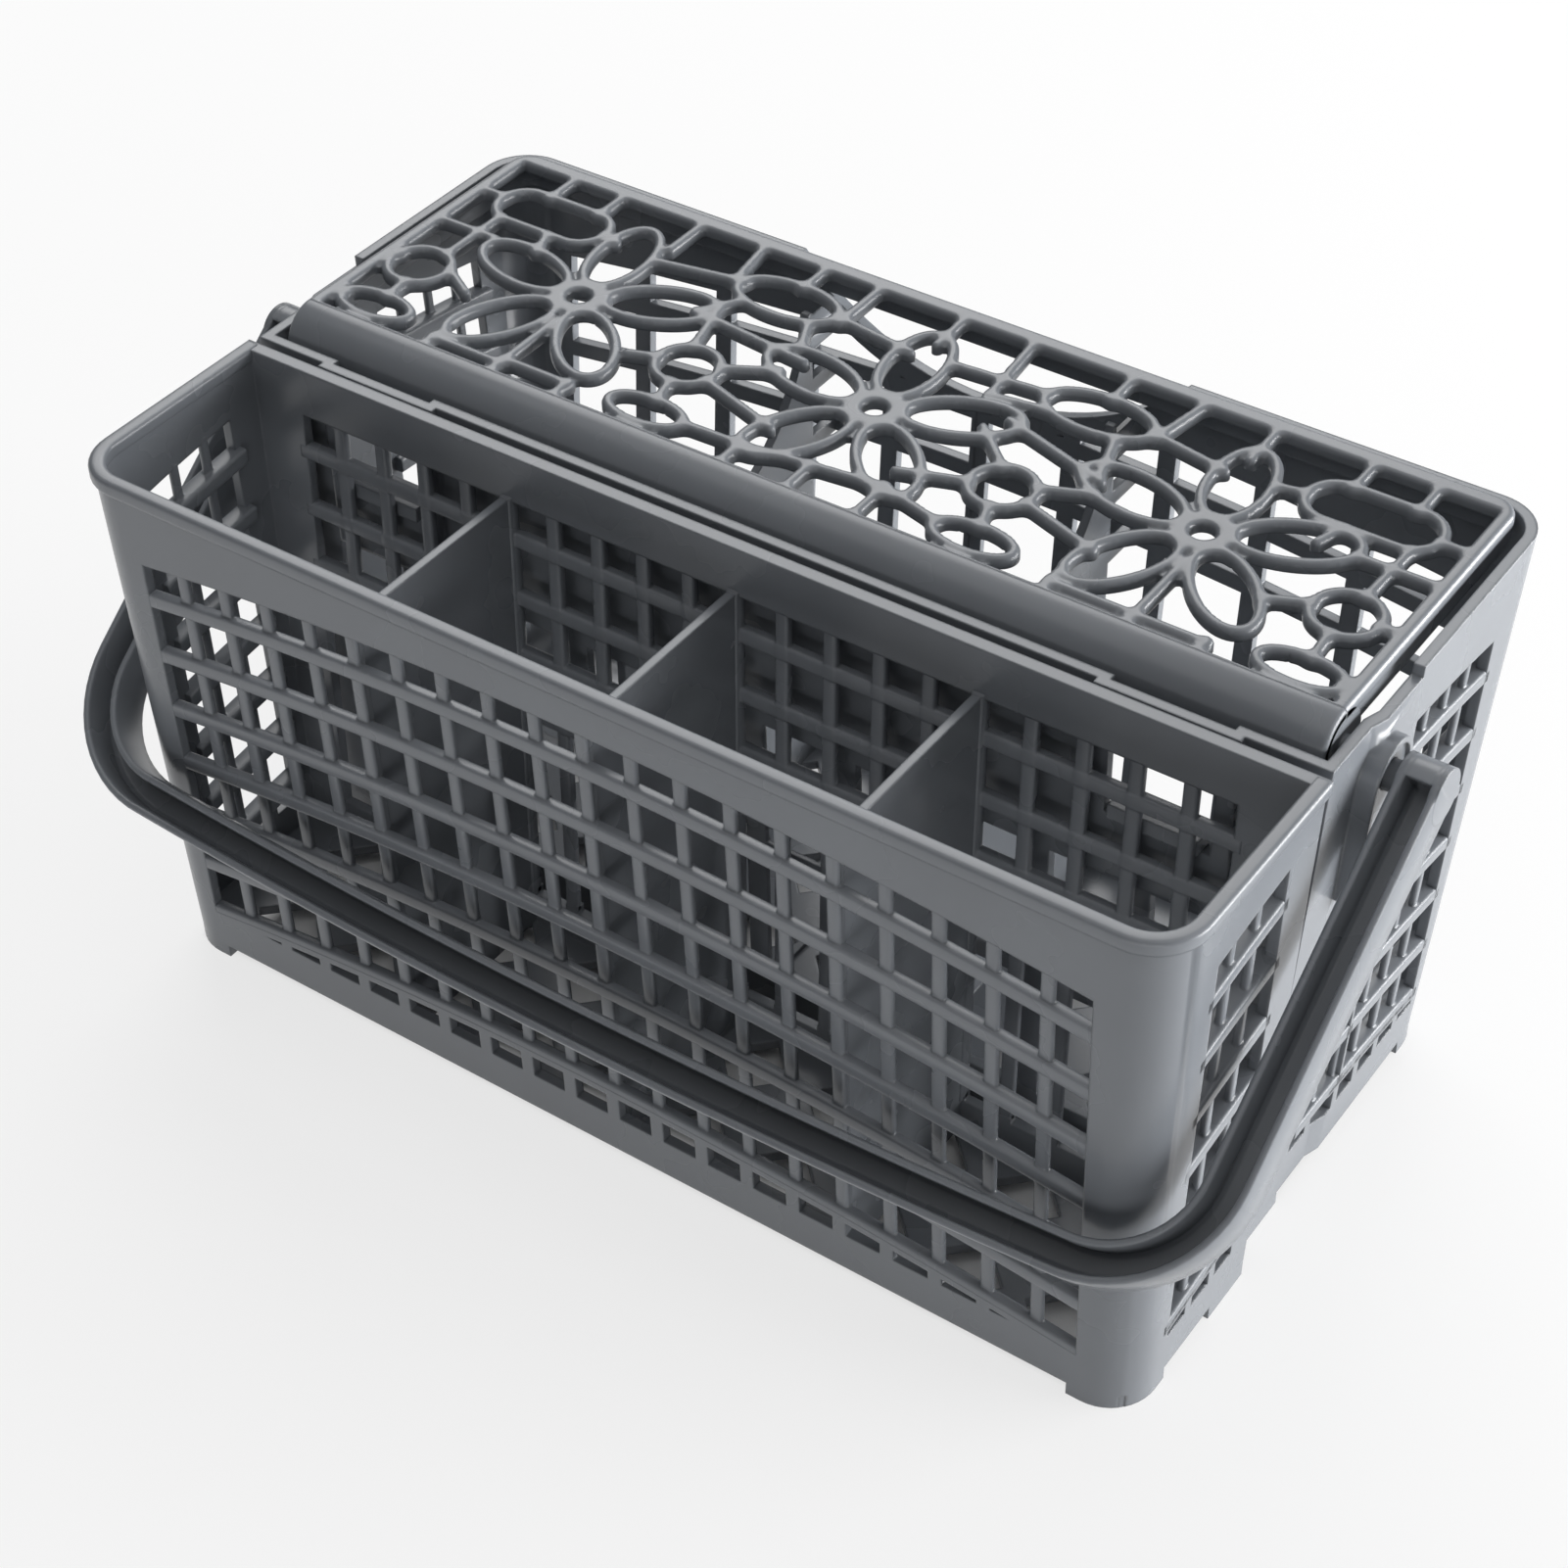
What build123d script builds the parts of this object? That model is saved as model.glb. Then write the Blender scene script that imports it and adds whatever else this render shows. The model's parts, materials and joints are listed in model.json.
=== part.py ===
"""Dishwasher cutlery basket: two moulded tubs, a hinged grille lid and a bail handle.

Millimetres, +Z up, X along the length. The tubs meet at the parting plane, and the lengths
along Y below are measured from it. The origin is the middle of the bounding box, on the floor.
"""

import os
from math import acos, atan2, copysign, cos, degrees, hypot, radians, sin

from build123d import *

# Both tubs
rim_height = 121.6
wall = 2.2
floor_thickness = 2.2
foot_height = 3.0
foot_length = 13.0
foot_width = 2.6
divider_thickness = 1.8
running_gap = 0.5
cut_start = 2.0

# Front tub
front_half_length = 118.0
front_end_lean = 3.2
front_rear_gap = 2.4
front_depth = 52.2
front_lean = 3.4
front_back_lean = 4.0
front_corner_radius = 10.0
front_rim_lip = 0.6
front_rim_height = 3.0
front_divider_pitch = 52.5
front_divider_drop = 9.5

# Rear tub
rear_half_length = 118.8
rear_end_lean = 6.0
rear_depth = 83.0
rear_lean = 8.5
rear_corner_radius = 10.0
recess_depth = 1.2
recess_start = 14.0
recess_run = 3.5
recess_shift = 10.0
recess_low = 105.5
recess_high = 116.5
recess_rounding = 1.4
rim_step = 2.2
rim_step_start = 30.5
rear_divider_x = 35.0
rear_divider_front_drop = 21.0
rear_divider_low_drop = 34.0
rear_divider_shoulder = 12.0
finger_notch_half_width = 42.0
finger_notch_depth = 16.0

# Arched hole grids: bars rise towards the middle of each side
bar_drop = 19.1
row_pitch = 13.8
bar_height = 3.4
row_count = 7
first_row_height = 7.0
arch_rise = 7.5
column_pitch = 10.5
column_count = 20
column_bar = 2.9
grid_bottom = 12.5
inner_square_rows = 3
end_column_pitch = 8.6
end_column_bar = 2.4
end_arch_rise = 7.5
end_arch_crest = 13.0
end_arch_half_span = 66.0
front_end_grid_middle = -24.8
front_end_columns = 3
rear_end_grid_middle = 39.5
rear_end_columns = 6
handle_zone_columns = 2
handle_zone_rows = 5
back_column_pitch = 21.0
back_column_count = 10
back_column_bar = 3.8
back_square_rows = 2
notch_margin = 4.0
joint_slot_pitch = 21.0
joint_slot_count = 10
joint_slot_width = 16.5
joint_slot_low = 14.0
joint_slot_high = 44.0
joint_slot_bar = 4.0
diamond_pitch = 21.0
diamond_side = 11.5
diamond_columns = 10
front_diamond_rows = 2
rear_diamond_rows = 3

# Hooks that hang the front tub on the rear one
hook_middle = 87.0
hook_pad_width = 24.0
hook_pad_bottom = 82.0
hook_window_width = 21.0
hook_window_bottom = 94.0
hook_window_top = 114.0
hook_width = 18.0
hook_neck_height = 3.2
hook_thickness = 1.7
hook_drop = 10.0
hook_gap = 0.4

# Lid
lid_clearance = 0.9
lid_hinge_drop = 3.1
lid_roll_radius = 7.5
lid_roll_wall = 2.0
lid_roll_lip = 4.0
lid_plate = 2.4
lid_rim = 3.0
lid_skirt = 2.0
lid_skirt_height = 6.5
lid_corner_radius = 5.0
lid_pin_radius = 2.0
lid_pin_reach = 1.4
lid_front_band = 12.0
lid_rear_band = 4.0
lid_rest_gap = 0.4
rib_width = 2.2
flower_pitch = 70.0
flower_y = 41.3
oval_sides = 12
petal_count = 5
petal_start_angle = 24.0
petal_orbit = 16.6
petal_length = 23.0
petal_width = 11.6
flower_eye = 4.8
flower_hub = 12.0
slot_x = 93.0
slot_y = 62.5
slot_length = 26.5
slot_width = 12.0
ring_length = 13.0
ring_width = 12.6
ring_places = [(-104.0, 33.2), (-38.0, 33.8), (33.0, 33.4), (102.0, 34.4)]
oval_length = 23.0
oval_width = 11.8
oval_places = [(-35.0, 63.2), (36.0, 62.9)]
low_oval_length = 16.6
low_oval_width = 8.0
low_oval_places = [(-102.0, 17.2), (-35.7, 17.2), (36.8, 17.2), (102.5, 16.6)]
rear_ribs = [(-98.0, (-98.0, 68.0)), (-85.5, (-85.5, 68.0)), (-65.5, (-65.5, 65.5))]
rear_ribs += [(-50.5, (-48.0, 64.0)), (-35.0, (-35.0, 68.5)), (-22.0, (-22.0, 62.0))]
rear_ribs += [(-2.5, (-2.0, 66.0)), (13.0, (15.5, 57.0)), (35.3, (35.5, 68.5))]
rear_ribs += [(51.5, (48.5, 62.0)), (66.0, (66.5, 65.5)), (86.0, (86.0, 68.0)), (99.0, (99.0, 68.0))]
end_ribs = [(63.4, -107.0), (49.5, -98.0), (34.5, -110.0), (17.2, -109.5)]
end_ribs += [(61.8, 106.5), (50.0, 96.0), (34.4, 108.0), (16.6, 110.0)]
front_ribs = [(-85.0, 15.5), (-68.5, 32.0), (-53.5, 16.5), (-14.5, 18.0), (0.0, 20.0)]
front_ribs += [(15.0, 21.5), (54.5, 16.5), (71.5, 32.0), (85.5, 14.5)]
links = [
    ((-102.0, 56.5), (-102.0, 39.5)),
    ((-89.5, 56.0), (-87.5, 50.0)),
    ((-97.5, 35.0), (-90.0, 30.5)),
    ((-102.5, 27.0), (-102.0, 21.0)),
    ((-85.0, 14.5), (-68.5, 14.5)),
    ((-68.5, 16.0), (-53.5, 16.0)),
    ((-79.5, 62.5), (-76.0, 61.5)),
    ((-64.5, 60.5), (-46.0, 64.0)),
    ((-43.0, 57.0), (-47.5, 50.0)),
    ((-44.5, 33.0), (-50.0, 31.0)),
    ((-41.0, 40.0), (-43.0, 48.0)),
    ((-47.5, 50.0), (-20.0, 47.0)),
    ((-26.5, 57.5), (-23.5, 51.0)),
    ((-23.5, 63.5), (-5.0, 61.0)),
    ((-32.0, 36.5), (-22.0, 42.0)),
    ((-32.0, 31.5), (-13.0, 25.5)),
    ((-37.5, 27.5), (-36.0, 21.0)),
    ((-27.5, 17.5), (-14.5, 18.0)),
    ((-14.5, 18.0), (15.0, 21.5)),
    ((15.0, 21.5), (28.5, 18.0)),
    ((14.0, 27.0), (27.0, 31.5)),
    ((34.0, 27.0), (36.0, 21.0)),
    ((39.0, 31.5), (56.0, 26.0)),
    ((20.0, 47.5), (30.0, 38.5)),
    ((38.5, 36.5), (48.0, 40.5)),
    ((23.0, 52.0), (47.0, 44.5)),
    ((5.0, 62.0), (24.5, 63.5)),
    ((15.5, 57.0), (26.5, 58.5)),
    ((42.5, 57.5), (46.0, 46.0)),
    ((47.5, 63.0), (64.0, 60.0)),
    ((75.0, 61.0), (79.5, 62.0)),
    ((54.5, 14.0), (85.5, 14.0)),
    ((103.0, 56.5), (102.5, 40.5)),
    ((90.0, 56.0), (88.0, 50.0)),
    ((95.5, 34.0), (88.0, 30.5)),
    ((102.0, 28.0), (102.5, 20.5)),
]

# Handle
pivot_y = 18.5
pivot_height = 109.2
pin_radius = 3.0
pin_clearance = 0.05
arm_gap = 3.8
arm_width = 8.2
handle_depth = 10.5
handle_wall = 1.6
handle_web = 2.0
grip_reach = 95.9
grip_width = 8.0
grip_bow = 2.6
bend_radius = 18.0
bend_growth = 9.0
handle_stop_gap = 1.3
boss_half_width = 7.0
boss_top = 7.6
boss_foot = 26.0
boss_height = 3.0
boss_bead = 1.2
boss_bead_height = 0.7

# Handle at rest: the back edge of the grip's inner flange stops just short of the front wall
stop_y = -(front_depth - front_lean / 2) - handle_stop_gap
stop_run = pivot_y - stop_y
grip_shoulder = grip_reach - grip_bow
rest_angle = acos(stop_run / hypot(grip_shoulder, handle_depth / 2))
rest_angle -= atan2(handle_depth / 2, grip_shoulder)
grip_outer = grip_reach + grip_width
handle_front = grip_outer * cos(rest_angle) + handle_depth / 2 * sin(rest_angle) - pivot_y
part_y = (handle_front - rear_depth) / 2

os.makedirs("parts", exist_ok=True)


def level(height):
    """Horizontal sketch plane whose local y is measured from the parting plane."""
    return Plane((0, part_y, height))


def facing(y):
    """Upright sketch plane along the length, local axes X and Z."""
    return Plane((0, part_y + y, 0), x_dir=(1, 0, 0), z_dir=(0, -1, 0))


def endwise(x):
    """Upright sketch plane across the length, local axes Y (from the parting plane) and Z."""
    return Plane((x, part_y, 0), x_dir=(0, 1, 0), z_dir=(1, 0, 0))


def keep_corner_feet(half, low, high):
    """Cut an outline down to short webs under its corners, open between them."""
    with Locations((0, (low + high) / 2)):
        depth = high - low
        Rectangle(2 * (half - foot_width), depth - 2 * foot_width, mode=Mode.SUBTRACT)
        Rectangle(2 * (half - foot_length), depth, mode=Mode.SUBTRACT)
        Rectangle(2 * half, depth - 2 * foot_length, mode=Mode.SUBTRACT)


def front_outline(height, inset=0.0, feet=False):
    """Front tub's outline at a height, drawn in by inset, with round front corners."""
    drop = (rim_height - height) / rim_height
    half = front_half_length - front_end_lean * drop - inset
    back = -front_rear_gap - front_back_lean * drop - inset
    front = -front_depth + front_lean * drop + inset
    with BuildSketch(level(0 if feet else height)) as outline:
        with BuildLine():
            Polyline((-half, back), (-half, front), (half, front), (half, back), close=True)
        make_face()
        fillet(outline.vertices().group_by(Axis.Y)[0], front_corner_radius - inset)
        if feet:
            keep_corner_feet(half, front, back)
    return outline.sketch


def rear_outline(height, inset=0.0, shift=0.0, feet=False):
    """Rear tub's outline at a height: its ends step outwards behind the handle's recess."""
    drop = (rim_height - height) / rim_height
    half = rear_half_length - rear_end_lean * drop - inset
    narrow = half - recess_depth
    back = rear_depth - rear_lean * drop - inset
    step = recess_start + shift + inset / 2
    right = [(narrow, inset), (narrow, step), (half, step + recess_run), (half, back)]
    left = [(-x, y) for x, y in reversed(right)]
    with BuildSketch(level(0 if feet else height)) as outline:
        with BuildLine():
            Polyline(*right, *left, close=True)
        make_face()
        levels = outline.vertices().group_by(Axis.Y)
        fillet(levels[3], rear_corner_radius - inset)
        fillet(levels[1] + levels[2], recess_rounding)
        if feet:
            keep_corner_feet(half, 0, back)
    return outline.sketch


def arched_row(uprights, crest, half_span, rise, top, bottom):
    """Add the face between two parallel arches, each straight from upright to upright."""
    sags = [rise * ((x - crest) / half_span) ** 2 for x in uprights]
    upper = [(x, top - sag) for x, sag in zip(uprights, sags)]
    lower = [(x, bottom - sag) for x, sag in zip(uprights, sags)]
    with BuildLine() as outline:
        Polyline(*upper, *reversed(lower), close=True)
    make_face(outline.edges())


def arched_rows(uprights, crest, half_span, rise, rows):
    """Add the rows of openings between the arched bars; the last runs to the grid's bottom."""
    bars = [rim_height - bar_drop - row * row_pitch for row in range(rows)]
    tops = [bars[0] + bar_height / 2 + first_row_height]
    tops += [bar - bar_height / 2 for bar in bars]
    bottoms = [bar + bar_height / 2 for bar in bars]
    bottoms += [grid_bottom - rise]
    for top, bottom in zip(tops, bottoms):
        arched_row(uprights, crest, half_span, rise, top, bottom)


def clip(low_x, high_x):
    """Keep the openings between two uprights and above the grid's bottom."""
    with Locations(((low_x + high_x) / 2, (grid_bottom + rim_height) / 2)):
        Rectangle(high_x - low_x, rim_height - grid_bottom, mode=Mode.INTERSECT)


def upright_places(middle, pitch, columns):
    """Places along the wall of the uprights that bound the columns."""
    return [middle + (column - columns / 2) * pitch for column in range(columns + 1)]


def upright_bars(uprights, bar):
    """Take the upright bars out of the rows of openings."""
    with Locations(*[(x, rim_height / 2) for x in uprights]):
        Rectangle(bar, rim_height, mode=Mode.SUBTRACT)


def side_grid(y, columns, pitch, bar, rows):
    """Arched openings of a long side, on an upright plane at y."""
    uprights = upright_places(0, pitch, columns)
    with BuildSketch(facing(y)) as grid:
        arched_rows(uprights, 0, uprights[-1], arch_rise, rows)
        clip(uprights[0], uprights[-1])
        upright_bars(uprights, bar)
    return grid.sketch


def back_grid():
    """Arched openings of the rear tub's back wall, kept clear of its finger notch."""
    uprights = upright_places(0, back_column_pitch, back_column_count)
    with BuildSketch(facing(rear_depth + cut_start)) as grid:
        arched_rows(uprights, 0, uprights[-1], arch_rise, back_square_rows)
        clip(uprights[0], uprights[-1])
        upright_bars(uprights, back_column_bar)
        with Locations((0, notch_middle)):
            Circle(notch_radius + notch_margin, mode=Mode.SUBTRACT)
    return grid.sketch


def end_grid(x, middle, columns, keep_handle_zone=False):
    """Arched openings of one end wall; the handle's zone stays plain where it is kept."""
    uprights = upright_places(middle, end_column_pitch, columns)
    with BuildSketch(endwise(x)) as grid:
        arched_rows(uprights, end_arch_crest, end_arch_half_span, end_arch_rise, row_count)
        clip(uprights[0], uprights[-1])
        upright_bars(uprights, end_column_bar)
        if keep_handle_zone:
            zone_bottom = rim_height - bar_drop - (handle_zone_rows - 1) * row_pitch
            with Locations((uprights[0], zone_bottom)):
                Rectangle(
                    2 * handle_zone_columns * end_column_pitch,
                    rim_height,
                    align=(Align.CENTER, Align.MIN),
                    mode=Mode.SUBTRACT,
                )
    return grid.sketch


def floor_diamonds(middle, rows):
    """Diamond openings of a floor."""
    with BuildSketch(level(foot_height)) as openings:
        with Locations((0, middle)):
            with GridLocations(diamond_pitch, diamond_pitch, diamond_columns, rows):
                Rectangle(diamond_side, diamond_side, rotation=45)
    return openings.sketch


def rib(start, end):
    """Straight rib of the lid's grille between two points."""
    run = Vector(*end) - Vector(*start)
    middle = (Vector(*start) + Vector(*end)) / 2
    with Locations((middle.X, middle.Y)):
        Rectangle(run.length, rib_width, rotation=degrees(atan2(run.Y, run.X)))


def oval(length, width, mode=Mode.ADD):
    """Ellipse drawn as a ring of straight facets."""
    turns = [radians(360 * (side + 0.5) / oval_sides) for side in range(oval_sides)]
    Polygon(
        *[(length / 2 * cos(turn), width / 2 * sin(turn)) for turn in turns], align=None, mode=mode
    )


def petals(centre, growth, mode=Mode.ADD):
    """Ellipses that point at a flower's centre, grown across the rib's centre line."""
    with Locations(centre):
        with PolarLocations(petal_orbit, petal_count, petal_start_angle):
            oval(petal_length + growth, petal_width + growth, mode)


def rings(growth, mode=Mode.ADD):
    """Slots and ovals between the flowers, grown across the rib's centre line."""
    with Locations((-slot_x, slot_y), (slot_x, slot_y)):
        SlotOverall(slot_length + growth, slot_width + growth, mode=mode)
    with Locations(*ring_places):
        oval(ring_length + growth, ring_width + growth, mode)
    with Locations(*oval_places):
        oval(oval_length + growth, oval_width + growth, mode)
    with Locations(*low_oval_places):
        oval(low_oval_length + growth, low_oval_width + growth, mode)


def bail_face(half, reach, radius, mode=Mode.ADD):
    """Region of the bail inside one U: straight arms, round bends and a gently bowed grip."""
    shoulder = reach - grip_bow
    turn = radius * (1 - cos(radians(45)))
    with BuildLine() as outline:
        grip = ThreePointArc((radius - half, shoulder), (0, reach), (half - radius, shoulder))
        right = ThreePointArc(
            grip @ 1, (half - turn, shoulder - turn), (half, shoulder - radius)
        )
        left = ThreePointArc(
            grip @ 0, (turn - half, shoulder - turn), (-half, shoulder - radius)
        )
        Polyline(right @ 1, (half, 0), (-half, 0), left @ 1)
    make_face(outline.edges(), mode=mode)


# Values shared by neighbouring pieces
floor_top = foot_height + floor_thickness
divider_foot = foot_height + floor_thickness / 2
base_share = (rim_height - foot_height) / rim_height
front_low_y = -front_depth + front_lean * base_share
front_high_y = -front_rear_gap - front_back_lean * base_share
front_middle_y = (front_low_y + front_high_y) / 2
rear_high_y = rear_depth - rear_lean * base_share
hook_pad_step = front_rear_gap - front_rim_lip - hook_gap
notch_radius = (finger_notch_half_width**2 + finger_notch_depth**2) / (2 * finger_notch_depth)
notch_middle = rim_height - finger_notch_depth + notch_radius
hook_back = wall - hook_pad_step + hook_gap + hook_thickness
lid_hinge_y = hook_back + running_gap + lid_roll_radius
lid_hinge_height = rim_height - lid_hinge_drop
lid_top = lid_hinge_height + lid_roll_radius
lid_under = lid_top - lid_skirt_height
lid_back = rear_depth - wall - lid_clearance
lid_low_share = (lid_hinge_drop + lid_roll_radius) / rim_height
recess_inner = rear_half_length - rear_end_lean * lid_low_share - recess_depth - wall
lid_half = recess_inner - lid_clearance
lid_pin_end = lid_half + lid_clearance + lid_pin_reach
pivot_share = (rim_height - pivot_height) / rim_height
recess_outer = rear_half_length - rear_end_lean * pivot_share - recess_depth
arm_inner = front_half_length + front_rim_lip + arm_gap
arm_outer = arm_inner + arm_width
hook_sill_share = (rim_height - hook_window_bottom) / rim_height
hook_root = -front_rear_gap - front_back_lean * hook_sill_share - wall / 2
hook_under = hook_window_bottom + hook_gap
pin_end = recess_outer - wall + running_gap

with BuildPart() as front_basket:
    levels = [foot_height, rim_height - front_rim_height, rim_height]
    for low, high in zip(levels, levels[1:]):
        loft([front_outline(low), front_outline(high)], ruled=True)
    loft([front_outline(height, -front_rim_lip) for height in levels[1:]], ruled=True)
    levels[0] = floor_top
    for low, high in zip(levels, levels[1:]):
        loft([front_outline(low, wall), front_outline(high, wall)], True, mode=Mode.SUBTRACT)
    extrude(front_outline(foot_height, feet=True), amount=foot_height)
    with BuildSketch(endwise(-divider_thickness / 2)) as front_divider:
        share = front_divider_drop / rim_height
        with BuildLine():
            Polyline(
                (front_low_y + wall / 2, divider_foot),
                (-front_depth + front_lean * share + wall / 2, rim_height - front_divider_drop),
                (-front_rear_gap - front_back_lean * share - wall / 2, rim_height - front_divider_drop),
                (front_high_y - wall / 2, divider_foot),
                close=True,
            )
        make_face()
    for x in (-front_divider_pitch, 0, front_divider_pitch):
        extrude(Pos(x, 0, 0) * front_divider.sketch, amount=divider_thickness)
    front_grid = side_grid(-front_depth - cut_start, column_count, column_pitch, column_bar, row_count)
    extrude(front_grid, amount=-cut_start - front_lean - 2 * wall, mode=Mode.SUBTRACT)
    inner_grid = side_grid(0, column_count, column_pitch, column_bar, inner_square_rows)
    inner_cut = front_rear_gap + front_back_lean + 2 * wall
    extrude(inner_grid, amount=inner_cut, mode=Mode.SUBTRACT)
    for side in (-1, 1):
        openings = end_grid(
            side * (front_half_length + cut_start), front_end_grid_middle, front_end_columns
        )
        end_cut = cut_start + front_end_lean + 2 * wall
        extrude(openings, amount=-side * end_cut, mode=Mode.SUBTRACT)
    diamonds = floor_diamonds(front_middle_y, front_diamond_rows)
    extrude(diamonds, amount=floor_thickness, mode=Mode.SUBTRACT)
    with BuildSketch(endwise(-hook_width / 2)) as hook:
        with BuildLine():
            Polyline(
                (hook_root, hook_under),
                (hook_root, hook_under + hook_neck_height),
                (hook_back, hook_under + hook_neck_height),
                (hook_back, hook_under - hook_drop),
                (hook_back - hook_thickness, hook_under - hook_drop),
                (hook_back - hook_thickness, hook_under),
                close=True,
            )
        make_face()
    for x in (-hook_middle, hook_middle):
        extrude(Pos(x, 0, 0) * hook.sketch, amount=hook_width)
front_basket.part.label = "front_basket"
export_step(front_basket.part, "parts/front_basket.step")

with BuildPart() as rear_basket:
    rim_top = rim_height + rim_step
    levels = [(foot_height, recess_shift), (recess_low, recess_shift), (recess_high, 0), (rim_top, 0)]
    for (low, low_shift), (high, high_shift) in zip(levels, levels[1:]):
        loft([rear_outline(low, 0, low_shift), rear_outline(high, 0, high_shift)], ruled=True)
    levels[0] = (floor_top, recess_shift)
    for (low, low_shift), (high, high_shift) in zip(levels, levels[1:]):
        lower = rear_outline(low, wall, low_shift)
        loft([lower, rear_outline(high, wall, high_shift)], ruled=True, mode=Mode.SUBTRACT)
    with BuildSketch(level(rim_height)):
        with Locations((0, rim_step_start)):
            Rectangle(2 * arm_inner, rear_depth, align=(Align.CENTER, Align.MAX))
    extrude(amount=rim_step, mode=Mode.SUBTRACT)
    extrude(rear_outline(foot_height, 0, recess_shift, feet=True), amount=foot_height)
    with BuildSketch(endwise(-divider_thickness / 2)) as divider:
        shoulder = lid_under - lid_rest_gap
        back = rear_high_y - wall / 2
        with BuildLine():
            curve = ThreePointArc(
                (rear_depth - wall - rear_divider_shoulder, shoulder),
                (rear_depth / 2, rim_height - rear_divider_low_drop),
                (wall / 2, rim_height - rear_divider_front_drop),
            )
            Polyline(
                curve @ 1,
                (wall / 2, divider_foot),
                (back, divider_foot),
                (rear_depth - wall, shoulder),
                curve @ 0,
            )
        make_face()
    for x in (-rear_divider_x, rear_divider_x):
        extrude(Pos(x, 0, 0) * divider.sketch, amount=divider_thickness)
    extrude(back_grid(), amount=cut_start + rear_lean + 2 * wall, mode=Mode.SUBTRACT)
    with BuildSketch(facing(rear_depth + cut_start)):
        with Locations((0, notch_middle)):
            Circle(notch_radius)
    extrude(amount=cut_start + rear_lean + 2 * wall, mode=Mode.SUBTRACT)
    for side in (-1, 1):
        openings = end_grid(
            side * (rear_half_length + cut_start), rear_end_grid_middle, rear_end_columns, True
        )
        end_cut = cut_start + rear_end_lean + recess_depth + 2 * wall
        extrude(openings, amount=-side * end_cut, mode=Mode.SUBTRACT)
    slot_tall = joint_slot_high - joint_slot_low
    with BuildSketch(facing(0)):
        with Locations((0, joint_slot_high + joint_slot_bar / 2)):
            with GridLocations(joint_slot_pitch, slot_tall + joint_slot_bar, joint_slot_count, 2):
                Rectangle(joint_slot_width, slot_tall)
    extrude(amount=-2 * wall, mode=Mode.SUBTRACT)
    rear_middle = rear_high_y / 2
    diamonds = floor_diamonds(rear_middle, rear_diamond_rows)
    extrude(diamonds, amount=floor_thickness, mode=Mode.SUBTRACT)
    pad_height = rim_height - hook_pad_bottom
    for x in (-hook_middle, hook_middle):
        with BuildSketch(facing(0)):
            with Locations((x, hook_pad_bottom)):
                Rectangle(hook_pad_width, pad_height, align=(Align.CENTER, Align.MIN))
        extrude(amount=-wall, mode=Mode.SUBTRACT)
        with BuildSketch(facing(-hook_pad_step)):
            with Locations((x, hook_pad_bottom - wall)):
                Rectangle(
                    hook_pad_width + 2 * wall, pad_height + wall, align=(Align.CENTER, Align.MIN)
                )
            with Locations((x, hook_window_bottom)):
                Rectangle(
                    hook_window_width,
                    hook_window_top - hook_window_bottom,
                    align=(Align.CENTER, Align.MIN),
                    mode=Mode.SUBTRACT,
                )
        extrude(amount=-wall)
    lean = atan2(rear_end_lean, rim_height)
    for side in (-1, 1):
        boss_plane = Plane(
            (side * (recess_outer - wall / 2), part_y, pivot_height),
            x_dir=(0, side, 0),
            z_dir=(side * cos(lean), 0, -sin(lean)),
        )
        with BuildSketch(boss_plane) as boss:
            with Locations((side * pivot_y, -boss_foot)):
                Rectangle(
                    2 * boss_half_width,
                    boss_foot + boss_top - boss_half_width,
                    align=(Align.CENTER, Align.MIN),
                )
            with Locations((side * pivot_y, boss_top - boss_half_width)):
                Circle(boss_half_width)
        extrude(amount=wall / 2 + boss_height)
        with BuildSketch(boss_plane):
            add(boss.sketch_local)
            offset(amount=-boss_bead, mode=Mode.SUBTRACT)
        extrude(amount=wall / 2 + boss_height + boss_bead_height)
    with BuildSketch(endwise(0)):
        with Locations((pivot_y, pivot_height)):
            Circle(pin_radius + pin_clearance)
    extrude(amount=arm_inner, both=True, mode=Mode.SUBTRACT)
    with BuildSketch(endwise(0)):
        with Locations((lid_hinge_y, lid_hinge_height)):
            Circle(lid_pin_radius + pin_clearance)
    extrude(amount=lid_pin_end + lid_rest_gap, both=True, mode=Mode.SUBTRACT)
rear_basket.part.label = "rear_basket"
export_step(rear_basket.part, "parts/rear_basket.step")

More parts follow.
